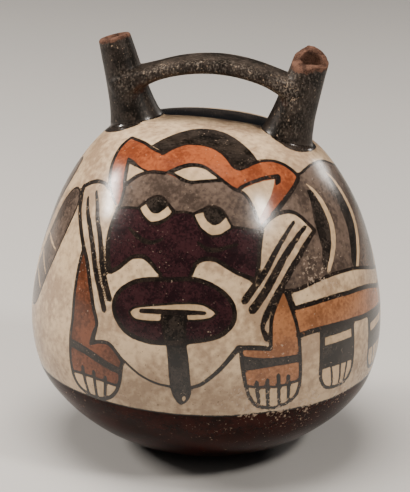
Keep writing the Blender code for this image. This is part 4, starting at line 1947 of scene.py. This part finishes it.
        relief = add_node(tree, "Math", (relief, gain), operation="MULTIPLY")
        heights = {"Height": relief, "Strength": self.bump, "Distance": self.bump_depth_mm * MM}
        tree.links.new(add_node(tree, "Bump", heights).outputs[0], shader.inputs["Normal"])


@dataclass(frozen=True)
class Softbox:
    """A soft light: the two ends of its long middle line, its width across that line and its power."""

    name: str
    start: tuple[float, float, float]
    end: tuple[float, float, float]
    width: float
    power: float
    mirrored: bool = True
    colour: str = "FFF6EC"


@dataclass(frozen=True)
class Studio:
    """Floor, lights and camera. What ends in px is measured in the photo's frame."""

    aim: tuple[float, float, float] = (0.0, 0.0, 0.085)
    turn: float = math.radians(9)
    elevation: float = math.radians(17)
    distance: float = 1.0
    roll: float = math.radians(2.35)
    focal_px: float = 2342.1
    frame_px: tuple[int, int] = (410, 492)
    centre_px: tuple[float, float] = (209.08, 249.18)
    sensor_mm: float = 24.0
    floor_size: float = 6.0
    floor_greys: tuple[str, str] = ("B7B6B4", "BDBCBA")
    floor_roughness: float = 0.9
    floor_mottle: float = 3.0
    sky: str = "D8DCE4"
    sky_strength: float = 0.05
    boxes: tuple[Softbox, ...] = (
        Softbox("left_strip", (-0.96, 0.10, 0.71), (-1.03, -0.26, 0.55), 0.07, 13.0),
        Softbox("right_strip", (0.756, -0.34, 0.895), (0.775, -0.50, 0.79), 0.10, 8.5),
        Softbox("rim_softbox", (0.50, 1.0, 0.50), (0.74, 0.86, 0.42), 0.20, 2.2),
        Softbox("top_softbox", (-0.55, -0.15, 1.35), (0.30, -0.15, 1.35), 0.7, 30.0, mirrored=False),
        Softbox("front_fill", (-0.6, -1.15, 1.05), (0.6, -1.15, 1.05), 1.0, 1.5, mirrored=False),
    )

    def build(self) -> None:
        """Sets up the floor, the lights and the camera."""
        self.make_floor()
        world = bpy.data.worlds.new("studio")
        world.use_nodes = True
        background = world.node_tree.nodes["Background"]
        background.inputs["Color"].default_value = linear(self.sky)
        background.inputs["Strength"].default_value = self.sky_strength
        bpy.context.scene.world = world
        for box in self.boxes:
            self.make_light(box)
        self.make_camera()

    def make_light(self, box: Softbox) -> None:
        """Hangs one softbox, facing the bottle.

        Args:
            box: The softbox.
        """
        start, end = Vector(box.start), Vector(box.end)
        middle = (start + end) / 2
        light = bpy.data.lights.new(box.name, "AREA")
        light.shape = "RECTANGLE"
        light.size = (end - start).length
        light.size_y = box.width
        light.energy = box.power
        light.color = linear(box.colour)[:3]
        lamp = bpy.data.objects.new(box.name, light)
        back = (middle - Vector(self.aim)).normalized()
        side = back.cross(end - start).normalized()
        facing = Matrix((side.cross(back), side, back)).transposed()
        lamp.matrix_world = Matrix.Translation(middle) @ facing.to_4x4()
        lamp.visible_glossy = box.mirrored
        bpy.context.collection.objects.link(lamp)

    def make_floor(self) -> None:
        """A pale plain floor of matt paper, a little uneven in its grey."""
        bpy.ops.mesh.primitive_plane_add(size=1, location=(0, 0, 0), enter_editmode=True)
        floor = bpy.context.object
        floor.name = "floor"
        bpy.ops.mesh.select_all(action="SELECT")
        bpy.ops.transform.resize(value=(self.floor_size, self.floor_size, 1))
        bpy.ops.object.mode_set(mode="OBJECT")
        material = bpy.data.materials.new("matt_paper")
        material.use_nodes = True
        tree = material.node_tree
        shader = tree.nodes["Principled BSDF"]
        place = add_node(tree, "TexCoord").outputs["Object"]
        mottle = add_node(tree, "TexNoise", {"Vector": place, "Scale": self.floor_mottle})
        dark, light = (linear(grey) for grey in self.floor_greys)
        colour = add_node(tree, "Mix", {0: mottle, 6: dark, 7: light}, data_type="RGBA")
        tree.links.new(colour.outputs[2], shader.inputs["Base Color"])
        shader.inputs["Roughness"].default_value = self.floor_roughness
        floor.data.materials.append(material)

    def make_camera(self) -> None:
        """The camera at the photo's angle, its aim moved by the frame's small offset from its centre."""
        out = Vector((math.cos(self.elevation) * math.sin(self.turn),
                      -math.cos(self.elevation) * math.cos(self.turn), math.sin(self.elevation)))
        place = Vector(self.aim) + out * self.distance
        facing = out.to_track_quat("Z", "Y").to_matrix()
        right_px = self.centre_px[0] - self.frame_px[0] / 2
        down_px = self.centre_px[1] - self.frame_px[1] / 2
        step = self.distance / self.focal_px
        aim = Vector(self.aim) - facing @ Vector((right_px * step, -down_px * step, 0))
        camera = bpy.data.cameras.new("camera")
        camera.sensor_fit = "VERTICAL"
        camera.sensor_height = self.sensor_mm
        camera.lens = self.focal_px * self.sensor_mm / self.frame_px[1]
        holder = bpy.data.objects.new("camera", camera)
        turned = (place - aim).to_track_quat("Z", "Y").to_matrix() @ Matrix.Rotation(self.roll, 3, "Z")
        holder.matrix_world = Matrix.Translation(place) @ turned.to_4x4()
        bpy.context.collection.objects.link(holder)
        bpy.context.scene.camera = holder


def main() -> None:
    """Builds, paints and stages the bottle."""
    logging.basicConfig(level=logging.INFO, format="%(name)s: %(message)s")
    bottle = Bottle()
    piece = bottle.build()
    for reach in bottle.edge_reaches:
        bottle.divide(piece, Drawing(piece, bottle).paint_all().busy(reach))
    drawing = Drawing(piece, bottle).paint_all()
    bottle.shape_by_hand(piece)
    drawing.keep()
    piece.data.shade_smooth()
    LOG.info("%s: %d vertices", piece.name, len(piece.data.vertices))
    piece.data.materials.clear()
    piece.data.materials.append(BurnishedSlip().build())
    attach(piece, "root")
    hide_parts("lower_body", "upper_body")
    Studio().build()


if __name__ == "__main__":
    main()
